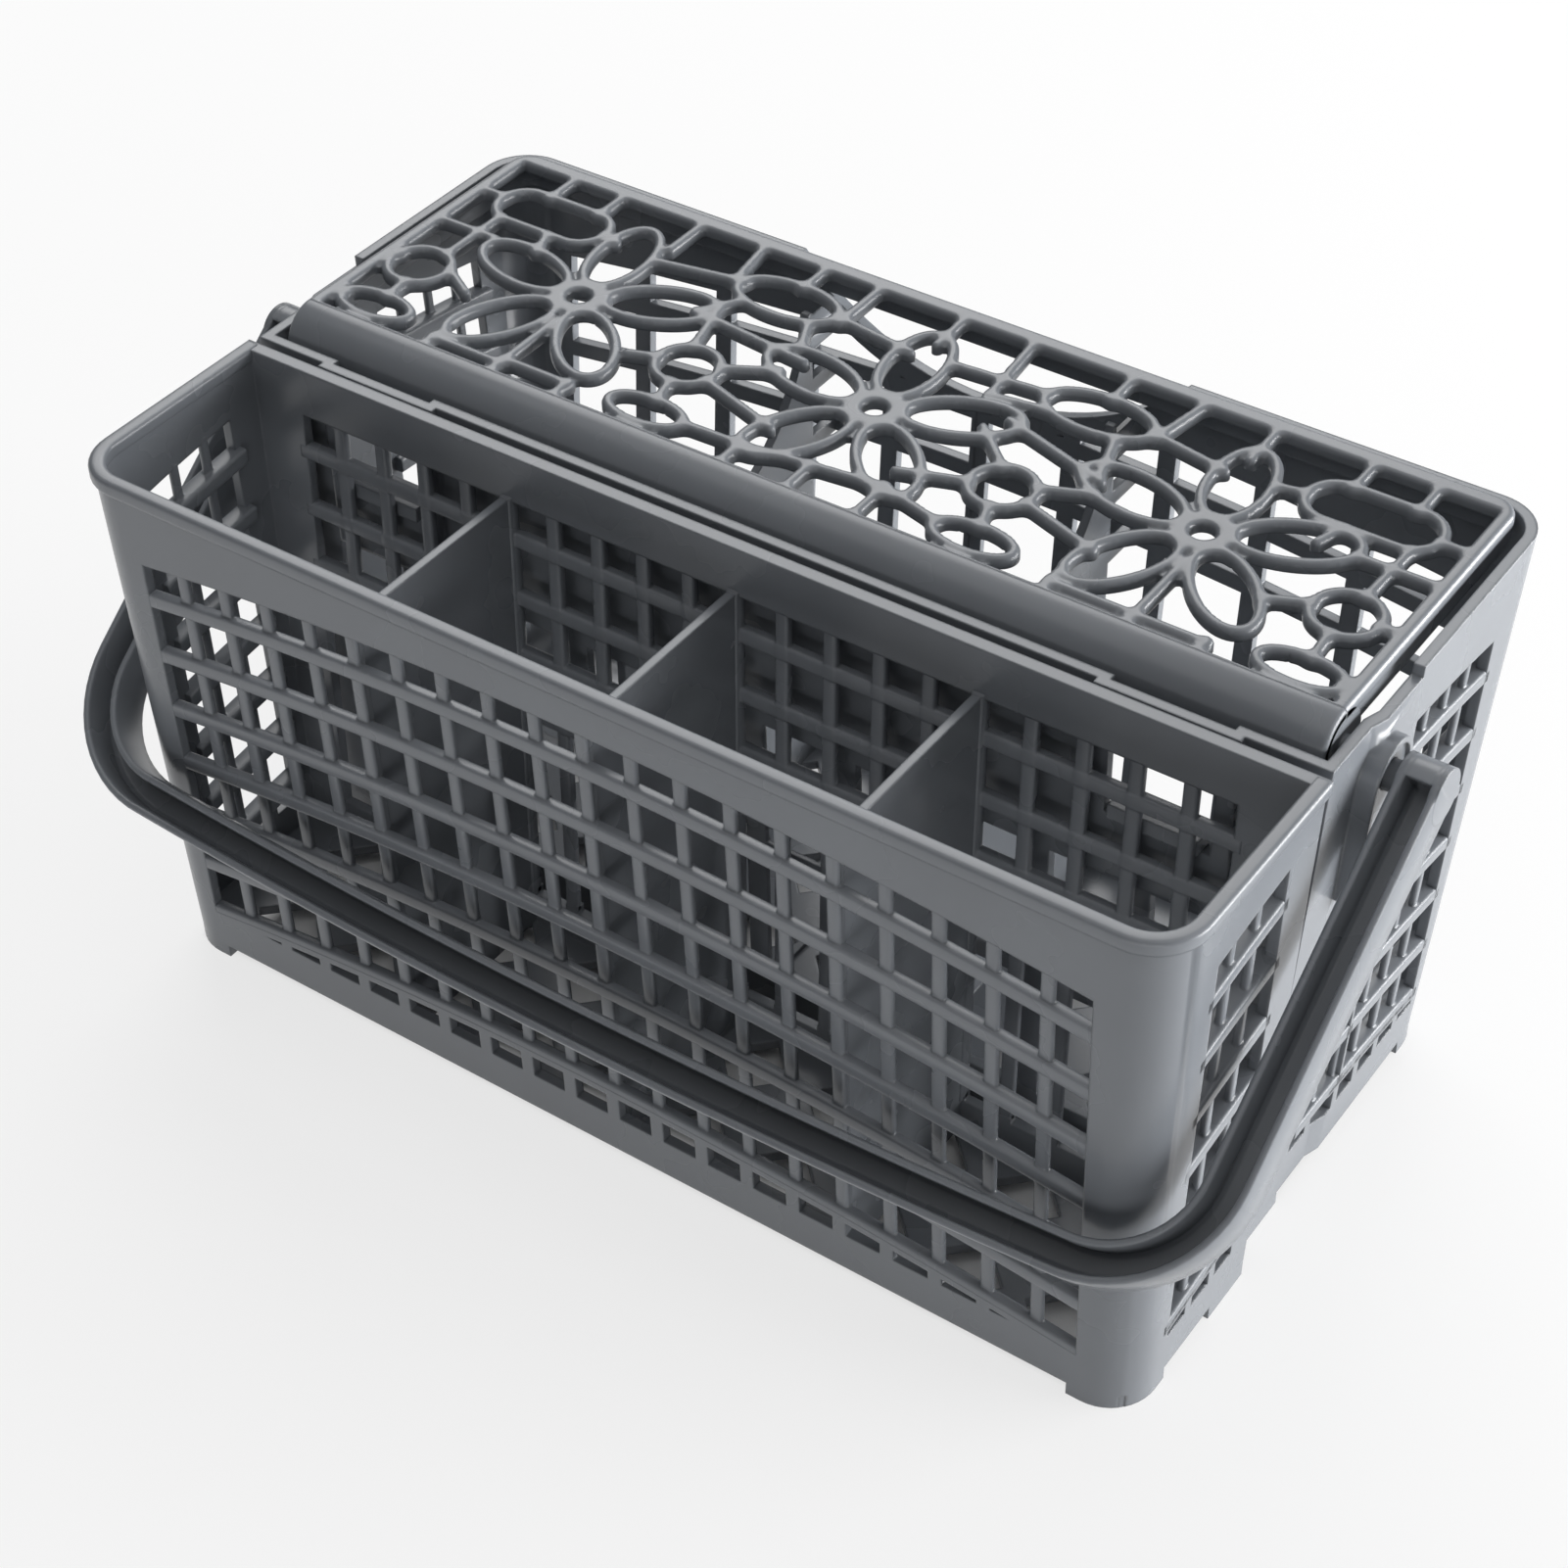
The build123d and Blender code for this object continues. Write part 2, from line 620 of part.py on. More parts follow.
with BuildPart() as lid:
    flowers = [(x, flower_y) for x in (-flower_pitch, 0, flower_pitch)]
    grille_front = lid_front_band - rib_width
    grille_back = lid_back - lid_rear_band + rib_width
    grille_end = lid_half - lid_rim + rib_width
    with BuildSketch(level(lid_top - lid_plate)) as grille:
        with Locations((0, lid_hinge_y)):
            Rectangle(2 * lid_half, lid_back - lid_hinge_y, align=(Align.CENTER, Align.MIN))
        fillet(grille.vertices().group_by(Axis.Y)[-1], lid_corner_radius)
        with Locations((0, lid_front_band)):
            Rectangle(
                2 * (lid_half - lid_rim),
                lid_back - lid_rear_band - lid_front_band,
                align=(Align.CENTER, Align.MIN),
                mode=Mode.SUBTRACT,
            )
        for centre in flowers:
            petals(centre, rib_width)
        with Locations(*flowers):
            Circle(flower_hub / 2)
        rings(rib_width)
        for x, tip in rear_ribs:
            rib((x, grille_back), tip)
        for y, x in end_ribs:
            rib((copysign(grille_end, x), y), (x, y))
        for x, y in front_ribs:
            rib((x, grille_front), (x, y))
        for start, end in links:
            rib(start, end)
        for centre in flowers:
            petals(centre, -rib_width, Mode.SUBTRACT)
        with Locations(*flowers):
            Circle(flower_eye / 2, mode=Mode.SUBTRACT)
        rings(-rib_width, Mode.SUBTRACT)
    extrude(amount=lid_plate)
    with BuildSketch(level(lid_under)) as skirt:
        with Locations((0, lid_hinge_y)):
            Rectangle(2 * lid_half, lid_back - lid_hinge_y, align=(Align.CENTER, Align.MIN))
        fillet(skirt.vertices().group_by(Axis.Y)[-1], lid_corner_radius)
        with Locations((0, lid_hinge_y)):
            Rectangle(
                2 * (lid_half - lid_skirt),
                lid_back - lid_skirt - lid_hinge_y,
                align=(Align.CENTER, Align.MIN),
                mode=Mode.SUBTRACT,
            )
    extrude(amount=lid_skirt_height)
    with BuildSketch(endwise(0)):
        with Locations((lid_hinge_y, lid_hinge_height)):
            Circle(lid_roll_radius)
            Circle(lid_roll_radius - lid_roll_wall, mode=Mode.SUBTRACT)
        with Locations((lid_hinge_y, lid_hinge_height - lid_roll_lip)):
            Rectangle(
                2 * lid_roll_radius,
                2 * lid_roll_radius,
                align=(Align.MAX, Align.MIN),
                mode=Mode.INTERSECT,
            )
    extrude(amount=lid_half, both=True)
    for side in (-1, 1):
        with BuildSketch(endwise(side * lid_half)):
            with Locations((lid_hinge_y, lid_hinge_height)):
                Circle(lid_roll_radius)
        extrude(amount=-side * lid_roll_wall)
        with BuildSketch(endwise(side * lid_half)):
            with Locations((lid_hinge_y, lid_hinge_height)):
                Circle(lid_pin_radius)
        extrude(amount=side * (lid_pin_end - lid_half))
lid.part.label = "lid"
export_step(lid.part, "parts/lid.step")

with BuildPart() as handle:
    arm_way = Plane(
        (0, part_y + pivot_y, pivot_height),
        x_dir=(1, 0, 0),
        z_dir=(0, sin(rest_angle), -cos(rest_angle)),
    )
    with BuildSketch(arm_way.offset(-handle_depth / 2)) as bail:
        bail_face(arm_outer, grip_outer, bend_radius + bend_growth)
        bail_face(arm_inner, grip_reach, bend_radius, Mode.SUBTRACT)
    extrude(amount=handle_depth)
    with BuildSketch(endwise(0)) as knuckle:
        with Locations((pivot_y, pivot_height)):
            Circle(handle_depth / 2)
    for side in (-1, 1):
        extrude(Pos(side * arm_inner, 0, 0) * knuckle.sketch, amount=side * arm_width)
    with BuildSketch(arm_way.offset(-handle_depth / 2)) as channel:
        outer_radius = bend_radius + bend_growth - handle_wall
        inner_radius = bend_radius + handle_wall
        bail_face(arm_outer - handle_wall, grip_outer - handle_wall, outer_radius)
        bail_face(arm_inner + handle_wall, grip_reach + handle_wall, inner_radius, Mode.SUBTRACT)
    extrude(amount=handle_depth - handle_web, mode=Mode.SUBTRACT)
    with BuildSketch(endwise(0)) as pivot:
        with Locations((pivot_y, pivot_height)):
            Circle(pin_radius)
    pin_length = arm_inner + handle_wall - pin_end
    for side in (-1, 1):
        extrude(Pos(side * pin_end, 0, 0) * pivot.sketch, amount=side * pin_length)
handle.part.label = "handle"
export_step(handle.part, "parts/handle.step")
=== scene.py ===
# %% [markdown]
# A moulded cutlery basket, dressed for a studio picture
#
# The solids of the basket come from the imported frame: two tubs, a lid and a bail handle. They have the right
# sizes and they move, but a moulded part is never as sharp as a plain solid. This lesson gives each piece its
# rounded edges, its raised bars and its satin finish, and then sets up the light and the camera.
#
# Every new surface is worked out with numpy: as a section that is carried along a path, or as a field of
# distances over a plan.

# %% Tools and frame
import json
from math import cos, radians, sin

import bmesh
import bpy
import numpy as np
from mathutils import Matrix, Vector


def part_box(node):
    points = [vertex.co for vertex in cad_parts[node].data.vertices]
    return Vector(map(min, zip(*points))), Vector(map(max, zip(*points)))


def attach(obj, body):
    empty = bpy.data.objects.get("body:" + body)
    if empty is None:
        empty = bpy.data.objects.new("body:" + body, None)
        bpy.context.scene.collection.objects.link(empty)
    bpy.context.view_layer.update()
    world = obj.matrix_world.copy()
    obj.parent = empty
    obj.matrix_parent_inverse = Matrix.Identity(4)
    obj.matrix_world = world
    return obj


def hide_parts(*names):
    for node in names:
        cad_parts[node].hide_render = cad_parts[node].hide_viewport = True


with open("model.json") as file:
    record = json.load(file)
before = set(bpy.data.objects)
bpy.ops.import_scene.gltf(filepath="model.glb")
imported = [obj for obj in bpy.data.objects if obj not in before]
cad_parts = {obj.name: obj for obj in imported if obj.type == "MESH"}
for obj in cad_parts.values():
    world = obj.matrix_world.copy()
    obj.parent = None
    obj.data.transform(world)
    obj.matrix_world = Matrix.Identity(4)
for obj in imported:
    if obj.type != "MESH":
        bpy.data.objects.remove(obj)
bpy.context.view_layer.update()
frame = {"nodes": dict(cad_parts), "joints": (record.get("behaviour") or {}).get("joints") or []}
mm = 0.001
joints = {joint["name"]: joint for joint in frame["joints"]}
print("nodes:", sorted(frame["nodes"]), "joints:", sorted(joints))

# %% [markdown]
# The two tubs meet at an upright plane across the middle of the basket. Lengths along Y are easiest to read
# when they are measured from that plane. The handle's pivot lies a known distance behind it, so the plane's
# place follows from the joint.

# %% Shared places
pivot = Vector(joints["handle_swing"]["pos_m"])
hinge = Vector(joints["lid_hinge"]["pos_m"])
pivot_behind_parting = 18.5 * mm
parting_y = pivot.y - pivot_behind_parting
rim_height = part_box("front_basket")[1].z
print("parting plane at y =", round(parting_y / mm, 2), "mm, rim at", round(rim_height / mm, 1), "mm")

# %% [markdown]
# The plastic is a grey polypropylene with a satin gloss. One colour all over would look like paint, so a slow
# noise moves the grey a little and the roughness with it, and a very fine bump breaks up the reflections as a
# moulded skin does. A mould has no knife edges either, and it is the rounded edges of the holes and rims that
# catch the light. There are over a thousand of them, too close together for a bevel of the mesh, so the finish
# rounds them: near an edge, it averages the directions of the faces within the edge's radius.

# %% Satin plastic
edge_radius = 0.7 * mm
drift_scale = 38.0
grain_scale = 900.0
tone_change = 0.05
gloss_change = 0.05
grain_strength = 0.06
grain_depth = 0.1 * mm


def satin_plastic(name, grey, roughness):
    """Principled plastic whose grey and roughness drift slowly, with a fine moulded grain as bump."""
    material = bpy.data.materials.new(name)
    material.use_nodes = True
    nodes, links = material.node_tree.nodes, material.node_tree.links
    shader = nodes["Principled BSDF"]
    shader.inputs["IOR"].default_value = 1.49
    places = nodes.new("ShaderNodeTexCoord")
    drift = nodes.new("ShaderNodeTexNoise")
    drift.inputs["Scale"].default_value = drift_scale
    drift.inputs["Detail"].default_value = 3.0
    links.new(places.outputs["Object"], drift.inputs["Vector"])
    tones = nodes.new("ShaderNodeValToRGB")
    tones.color_ramp.elements[0].position = 0.3
    tones.color_ramp.elements[1].position = 0.7
    for element, tone in zip(tones.color_ramp.elements, (1 - tone_change, 1 + tone_change)):
        element.color = (grey[0] * tone, grey[1] * tone, grey[2] * tone, 1.0)
    links.new(drift.outputs["Fac"], tones.inputs["Fac"])
    links.new(tones.outputs["Color"], shader.inputs["Base Color"])
    gloss = nodes.new("ShaderNodeMapRange")
    gloss.inputs["To Min"].default_value = roughness - gloss_change
    gloss.inputs["To Max"].default_value = roughness + gloss_change
    links.new(drift.outputs["Fac"], gloss.inputs["Value"])
    links.new(gloss.outputs["Result"], shader.inputs["Roughness"])
    grain = nodes.new("ShaderNodeTexNoise")
    grain.inputs["Scale"].default_value = grain_scale
    grain.inputs["Detail"].default_value = 2.0
    links.new(places.outputs["Object"], grain.inputs["Vector"])
    edges = nodes.new("ShaderNodeBevel")
    edges.samples = 6
    edges.inputs["Radius"].default_value = edge_radius
    bump = nodes.new("ShaderNodeBump")
    links.new(edges.outputs["Normal"], bump.inputs["Normal"])
    bump.inputs["Strength"].default_value = grain_strength
    bump.inputs["Distance"].default_value = grain_depth
    links.new(grain.outputs["Fac"], bump.inputs["Height"])
    links.new(bump.outputs["Normal"], shader.inputs["Normal"])
    return material


basket_grey = (0.165, 0.177, 0.194)
satin_roughness = 0.27
plastic = satin_plastic("grey_satin_plastic", basket_grey, satin_roughness)
print("finish:", plastic.name)

# %% [markdown]
# Most new pieces are the same construction: a closed section that is carried along a path. The section is a
# table of points across and up, and the path gives, at each step, a place and the two directions that the
# section's axes follow. One array product then makes all the points at once.


# %% Carrying a section along a path
def ring_faces(steps, around, closed):
    """Quads between neighbouring rings of points; a closed path also joins its last ring to its first."""
    rows = np.arange(steps if closed else steps - 1)
    columns = np.arange(around)
    near = rows[:, None] * around
    far = ((rows + 1) % steps)[:, None] * around
    beside = (columns + 1) % around
    quads = np.stack([near + columns, far + columns, far + beside, near + beside], axis=-1)
    return quads.reshape(-1, 4).tolist()


def tube(points, closed=False):
    """Points of shape steps by around by three, with the quads between them and flat caps at open ends."""
    steps, around = points.shape[:2]
    faces = ring_faces(steps, around, closed)
    if not closed:
        faces.append(list(range(around)))
        faces.append(list(range((steps - 1) * around, steps * around)))
    return points.reshape(-1, 3), faces


def carry(path, across, up, section, closed=False):
    """Point of step i and section point j: path[i] + section[j, 0] across[i] + section[j, 1] up[i]."""
    path, across, up = (np.asarray(values, float) for values in (path, across, up))
    section = np.asarray(section, float)
    points = path[:, None] + section[None, :, :1] * across[:, None] + section[None, :, 1:] * up[:, None]
    return tube(points, closed)


def joined(shapes):
    """One list of points and one of faces from several shapes."""
    points, faces, start = [], [], 0
    for shape_points, shape_faces in shapes:
        points.append(shape_points)
        faces += [[corner + start for corner in face] for face in shape_faces]
        start += len(shape_points)
    return np.concatenate(points), faces


def outward_mesh(name, shape):
    """Mesh from points and faces, with its faces turned outwards."""
    points, faces = shape
    mesh = bpy.data.meshes.new(name)
    mesh.from_pydata(points.tolist(), [], faces)
    shell = bmesh.new()
    shell.from_mesh(mesh)
    bmesh.ops.recalc_face_normals(shell, faces=shell.faces)
    shell.to_mesh(mesh)
    shell.free()
    return mesh


def scene_object(name, mesh):
    """Object with a mesh, linked to the scene."""
    piece = bpy.data.objects.new(name, mesh)
    bpy.context.scene.collection.objects.link(piece)
    return piece


def add_piece(name, shape, body, smooth_angle=40):
    """Object from points and faces that rides on a body and has the plastic finish."""
    mesh = outward_mesh(name, shape)
    mesh.shade_smooth()
    mesh.set_sharp_from_angle(angle=radians(smooth_angle))
    mesh.materials.append(plastic)
    piece = scene_object(name, mesh)
    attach(piece, body)
    print(name, "has", len(mesh.vertices), "points")
    return piece


# %% [markdown]
# On the real basket the grids are open lattices: level bars arch from side to side, as deep as the wall or
# deeper, and thin rods stand behind their front edges. The solids have plain windows there. So each grid's area
# is cut out of a copy of the solid and the bars and rods are laid into the opening. A wall is treated as a flat
# map: a place along it, a height and a depth behind its outer face give a point.

# %% Walls as maps
rim = rim_height / mm
front_depth = 52.2
front_lean = 3.4
rim_lip = 0.6
front_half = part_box("front_basket")[1].x / mm - rim_lip
front_end_lean = 3.2
back_gap = 2.4
back_lean = 4.0
rear_half = 118.8
rear_end_lean = 6.0


def front_map(along, height, depth):
    """Front wall: y moves back by the lean as the height falls, and by the depth."""
    y = -front_depth + front_lean * (1 - height / rim) + depth
    return np.stack(np.broadcast_arrays(along, y, height), axis=-1)


def back_map(along, height, depth):
    """Front tub's back wall: y moves forward by its lean as the height falls, and by the depth."""
    y = -back_gap - back_lean * (1 - height / rim) - depth
    return np.stack(np.broadcast_arrays(along, y, height), axis=-1)


def end_map(side, half, lean):
    """Map of an end wall: x is the half length, less the lean at this height, less the depth."""

    def place(along, height, depth):
        x = side * (half - lean * (1 - height / rim) - depth)
        return np.stack(np.broadcast_arrays(x, along, height), axis=-1)

    return place


def in_metres(shape):
    """Points in millimetres from the parting plane, as metres in the frame."""
    points, faces = shape
    return points * mm + [0.0, parting_y, 0.0], faces


print("rim at", round(rim, 1), "mm, front half length", round(front_half, 1), "mm")

# %% [markdown]
# All level bars are copies of one arch, a square law that falls away from the crest. A front bar is as deep as
# its wall; the end bars are shelves that reach further in.

# %% Arched bars and rods
bar_drop = 19.1
row_pitch = 13.8
row_count = 7
bar_levels = rim - bar_drop - row_pitch * np.arange(row_count)
bar_height = 3.4
bar_rounding = 0.55
rod_rounding = 0.5
first_row = 7.0
arch_rise = 7.5
wall = 2.2


def rounded_box(low, high, front, back, radius, steps=3):
    """Rectangle whose corners are quarter circles: corner centre plus radius times (cos t, sin t)."""
    turns = np.linspace(0, np.pi / 2, steps + 1)
    centres = [(high - radius, back - radius), (low + radius, back - radius)]
    centres += [(low + radius, front + radius), (high - radius, front + radius)]
    arcs = []
    for quarter_turns, centre in enumerate(centres):
        t = turns + quarter_turns * np.pi / 2
        arcs.append(centre + radius * np.stack([np.cos(t), np.sin(t)], axis=1))
    return np.concatenate(arcs)


def sag(along, crest, half_span):
    """How far an arch has fallen at a place: the rise times the square of the share of the half span."""
    return arch_rise * ((along - crest) / half_span) ** 2


def level_bars(place, span, levels, arch, back, sink=1.5, steps=49):
    """Each bar's rounded section is carried along its arch, from within one border to within the other."""
    along = np.linspace(span[0] - sink, span[1] + sink, steps)[:, None]
    section = rounded_box(-bar_height / 2, bar_height / 2, 0.0, back, bar_rounding)
    heights = [level - sag(along, *arch) + section[None, :, 0] for level in levels]
    return [tube(place(along, height, section[None, :, 1])) for height in heights]


def rods(place, places, width, bottom, top, arch, front, back, sink=1.0):
    """Each rod's rounded section is carried straight up from a bar to within the border above."""
    section = rounded_box(-width / 2, width / 2, front, back, rod_rounding)
    shapes = []
    for at in places:
        ends = np.array([bottom, top + sink])[:, None] - sag(at, *arch)
        shapes.append(tube(place(at + section[None, :, 0], ends, section[None, :, 1])))
    return shapes


def opening(place, span, bottom, top, arch, start=-2.0, depth=2.5, steps=25):
    """Block through the wall between two arches, to be cut out of the solid."""
    along = np.linspace(*span, steps)
    outline = np.concatenate([along, along[::-1]])
    heights = np.concatenate([top - sag(along, *arch), (bottom - sag(along, *arch))[::-1]])
    return tube(np.stack([place(outline, heights, start), place(outline, heights, depth)]))


# %% [markdown]
# Now every wall gets its field: a span along the wall, the levels of its bars and the places of its rods. The
# front has twenty columns under a wide arch. The ends share one arch whose crest lies behind the parting plane,
# and where the handle's recess is, only the lower rows are open. The front tub's back wall has straight rows with
# long slots below them. Its cut starts at the wall's outer face, so that the hooks behind it stay. Where a divider
# meets a wall, a deeper rod stands at its end.

# %% Lattice of every wall
front_arch = (0.0, 105.0)
end_arch = (13.0, 66.0)
straight = (0.0, 1e6)
grid_top = bar_levels[0] + bar_height / 2 + first_row
column_pitch = 10.5
end_pitch = 8.6
divider_pitch = 52.5
front_places = column_pitch * np.arange(-9, 10)
front_end_places = -24.8 + end_pitch * np.array([-0.5, 0.5])
rear_end_places = 39.5 + end_pitch * np.arange(-2, 3)
divider_places = [-divider_pitch, 0.0, divider_pitch]
long_span = (-103.5, 103.5)
front_end_span = (-36.5, -13.1)
rear_end_span = (32.1, 64.1)
recess_span = (14.9, 31.2)
recess_row = 4
bar_back = wall + 0.1
shelf_back = 4.0
divider_back = wall + 0.9
front_rod, back_rod, end_rod = 2.6, 2.9, 2.0
slot_bottom = 14.0
slot_root = 13.0
straight_rows = 4
cuts = {"front_basket": [], "rear_basket": []}
lattice = {"front_basket": [], "rear_basket": []}


def add_lattice(body, place, span, levels, top, places, arch, width, back, rod_front):
    """Cut for one field of a wall, with its bars and rods."""
    cuts[body].append(opening(place, span, levels[-1], top, arch))
    lattice[body] += level_bars(place, span, levels, arch, back)
    lattice[body] += rods(place, places, width, levels[-1], top, arch, rod_front, bar_back)


def add_end(body, place, span, levels, top, places):
    """Field of an end wall, whose bars are deep shelves with thin rods."""
    add_lattice(body, place, span, levels, top, places, end_arch, end_rod, shelf_back, rod_front=0.9)


add_lattice(
    "front_basket", front_map, long_span, bar_levels, grid_top, front_places, front_arch, front_rod, bar_back,
    rod_front=0.8,
)
lattice["front_basket"] += rods(
    front_map, divider_places, front_rod, bar_levels[-1], grid_top, front_arch, 1.2, divider_back
)

cuts["front_basket"].append(opening(back_map, long_span, slot_bottom, grid_top, straight, start=-0.05))
lattice["front_basket"] += level_bars(back_map, long_span, bar_levels[:straight_rows], straight, bar_back)
lattice["front_basket"] += rods(back_map, front_places, back_rod, slot_root, grid_top, straight, 0.3, wall)
lattice["front_basket"] += rods(
    back_map, divider_places, front_rod, slot_root, grid_top, straight, 0.6, divider_back
)

low_levels = bar_levels[recess_row:]
for side in (-1, 1):
    front_end = end_map(side, front_half, front_end_lean)
    rear_end = end_map(side, rear_half, rear_end_lean)
    add_end("front_basket", front_end, front_end_span, bar_levels, grid_top, front_end_places)
    add_end("rear_basket", rear_end, rear_end_span, bar_levels, grid_top, rear_end_places[2:])
    add_end("rear_basket", rear_end, recess_span, low_levels, low_levels[0], rear_end_places[:2])
print({body: len(shapes) for body, shapes in lattice.items()}, "bars and rods")

# %% [markdown]
# The tubs otherwise keep their solids' form. Their triangles are welded, the openings for the lattices are cut
# out, and triangles that lie flat together are joined again, so that the walls shade evenly.

# %% Tubs with open walls
weld_distance = 0.002 * mm
flat_angle = radians(0.5)
sharp_angle = radians(30)


def cut_out(mesh, shape):
    """Mesh less a closed shape, by Blender's exact boolean."""
    solid, cutter = scene_object("solid", mesh), scene_object("cutter", outward_mesh("block", shape))
    cut = solid.modifiers.new("openings", "BOOLEAN")
    cut.operation = "DIFFERENCE"
    cut.solver = "EXACT"
    cut.object = cutter
    result = bpy.data.meshes.new_from_object(solid.evaluated_get(bpy.context.evaluated_depsgraph_get()))
    bpy.data.objects.remove(solid)
    bpy.data.objects.remove(cutter)
    return result


def welded(mesh, flat=None):
    """Weld points that coincide and, where an angle is given, join triangles that lie flat together."""
    shell = bmesh.new()
    shell.from_mesh(mesh)
    bmesh.ops.remove_doubles(shell, verts=shell.verts, dist=weld_distance)
    if flat:
        bmesh.ops.triangulate(shell, faces=shell.faces)
        bmesh.ops.dissolve_limit(shell, angle_limit=flat, verts=shell.verts, edges=shell.edges)
    open_count = sum(len(edge.link_faces) != 2 for edge in shell.edges)
    shell.to_mesh(mesh)
    shell.free()
    print(mesh.name, "has", len(mesh.polygons), "faces and", open_count, "open edges")


def add_tub(node):
    """Copy of a solid with its grids cut out, joined flat faces and sharp edges kept apart in the shading."""
    mesh = frame["nodes"][node].data.copy()
    welded(mesh)
    mesh = cut_out(mesh, in_metres(joined(cuts[node])))
    welded(mesh, flat_angle)
    mesh.name = node + "_soft"
    mesh.materials.clear()
    mesh.materials.append(plastic)
    mesh.shade_smooth()
    mesh.set_sharp_from_angle(angle=sharp_angle)
    piece = scene_object(node + "_soft", mesh)
    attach(piece, node)
    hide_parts(node)
    print(piece.name, "has", len(mesh.polygons), "faces")


for tub in ("front_basket", "rear_basket"):
    add_tub(tub)
    add_piece(tub + "_lattice", in_metres(joined(lattice[tub])), tub)

# %% [markdown]
# The front tub's rim is a low band that stands a little proud of the wall, with a round top. In the solid the
# band has square edges. A rounded section is carried over it, along one end, the front with its two corners, and
# the other end. It lies a quarter of a millimetre outside the solid, so that the square edges disappear inside.

# %% Front tub's rim
rim_margin = 0.25
rim_band = 3.0
rim_rounding = 0.85
rim_corner = 10.0
rim_turns = np.linspace(0.0, np.pi / 2, 11)
left_arc = np.stack([-np.cos(rim_turns), -np.sin(rim_turns)], axis=1)
right_arc = np.stack([np.sin(rim_turns), -np.cos(rim_turns)], axis=1)
rim_out = np.concatenate([left_arc[:1], left_arc, right_arc, right_arc[-1:]])
rim_centres = np.repeat([-1.0, 1.0], len(rim_turns))[:, None] * [front_half - rim_corner, 0.0]
rim_path = rim_centres + [0.0, rim_corner - front_depth] + rim_corner * rim_out[1:-1]
rim_path = np.concatenate([[[-front_half, -back_gap]], rim_path, [[front_half, -back_gap]]])
rim_section = rounded_box(
    -wall - rim_margin, rim_lip + rim_margin, -rim_band, rim_margin, rim_rounding, steps=5
)
zero = np.zeros(len(rim_path))
rim_shape = carry(
    np.column_stack([rim_path, zero + rim]),
    np.column_stack([rim_out, zero]),
    np.column_stack([zero, zero, zero + 1.0]),
    rim_section,
)
add_piece("front_basket_rim", in_metres(rim_shape), "front_basket")

# %% [markdown]
# Each foot is a short web round a corner of the tub. In the solid, its square inner corner cuts through the
# round outer corner and leaves a slit about a millimetre wide. On the moulding the web runs on, so a quarter
# turn of wall closes each slit.

# %% Corners of the feet
corner_radius = 10.0 * mm
foot_inner, foot_outer, foot_top = -2.4 * mm, -0.05 * mm, 3.2 * mm
foot_section = [(foot_inner, 0.0), (foot_outer, 0.0), (foot_outer, foot_top), (foot_inner, foot_top)]
ground_zone = 0.05 * mm
quarter = np.linspace(0.0, np.pi / 2, 13)
foot_edges = []
for tub, edge_of, facing in (("front_basket", np.min, -1), ("rear_basket", np.max, 1)):
    solid = np.array([vertex.co for vertex in frame["nodes"][tub].data.vertices])
    feet = solid[solid[:, 2] < ground_zone]
    foot_edges.append(edge_of(feet[:, 1]))
    foot_half = feet[:, 0].max()
    centre_x = foot_half - corner_radius
    centre_y = foot_edges[-1] - facing * corner_radius
    corners = []
    for side in (-1, 1):
        outward = np.stack([side * np.cos(quarter), facing * np.sin(quarter), 0 * quarter], axis=-1)
        arc = np.array([side * centre_x, centre_y, 0.0]) + corner_radius * outward
        corners.append(carry(arc, outward, np.tile([0.0, 0.0, 1.0], (len(arc), 1)), foot_section))
    add_piece(tub + "_foot_corners", joined(corners), tub)
    print(tub, "feet reach x =", round(foot_half / mm, 2), "mm")

# %% [markdown]
# The handle is a channel: a web with a flange on each side, open towards the front. Its inner and outer
# outlines are two nested U shapes, so a section can be laid between them at every step, measured from the
# outline that it belongs to. Round cheeks and a curved wall close the two ends.

# %% Handle channel
arm_inner = 122.4 * mm
arm_width = 8.2 * mm
arm_outer = arm_inner + arm_width
handle_depth = 10.5 * mm
flange = 1.6 * mm
web = 2.0 * mm
grip_reach = 95.9 * mm
grip_width = 8.0 * mm
grip_bow = 2.6 * mm
inner_bend = 18.0 * mm
outer_bend = 27.0 * mm
handle_tilt = radians(37.99)
flange_rounding = 0.75 * mm
along_arm = np.array([0.0, -cos(handle_tilt), -sin(handle_tilt)])
into_web = np.array([0.0, sin(handle_tilt), -cos(handle_tilt)])


def bail_outline(half, reach, radius, arm_steps=10, bend_steps=14, grip_steps=40):
    """Right arm, round bend, bowed grip, bend and left arm, as across and along distances from the pivot."""
    shoulder = reach - grip_bow
    arm = np.linspace(0, shoulder - radius, arm_steps, endpoint=False)
    turn = np.radians(np.linspace(0, 90, bend_steps, endpoint=False))
    right_arm = np.stack([np.full_like(arm, half), arm], axis=1)
    bend = np.stack(
        [half - radius + radius * np.cos(turn), shoulder - radius + radius * np.sin(turn)], axis=1
    )
    across = np.linspace(half - radius, 0, grip_steps // 2 + 1)
    bow = grip_bow * (1 - (across / (half - radius)) ** 2)
    grip = np.stack([across, shoulder + bow], axis=1)
    right = np.concatenate([right_arm, bend, grip])
    left = right[-2::-1] * [-1, 1]
    return np.concatenate([right, left])


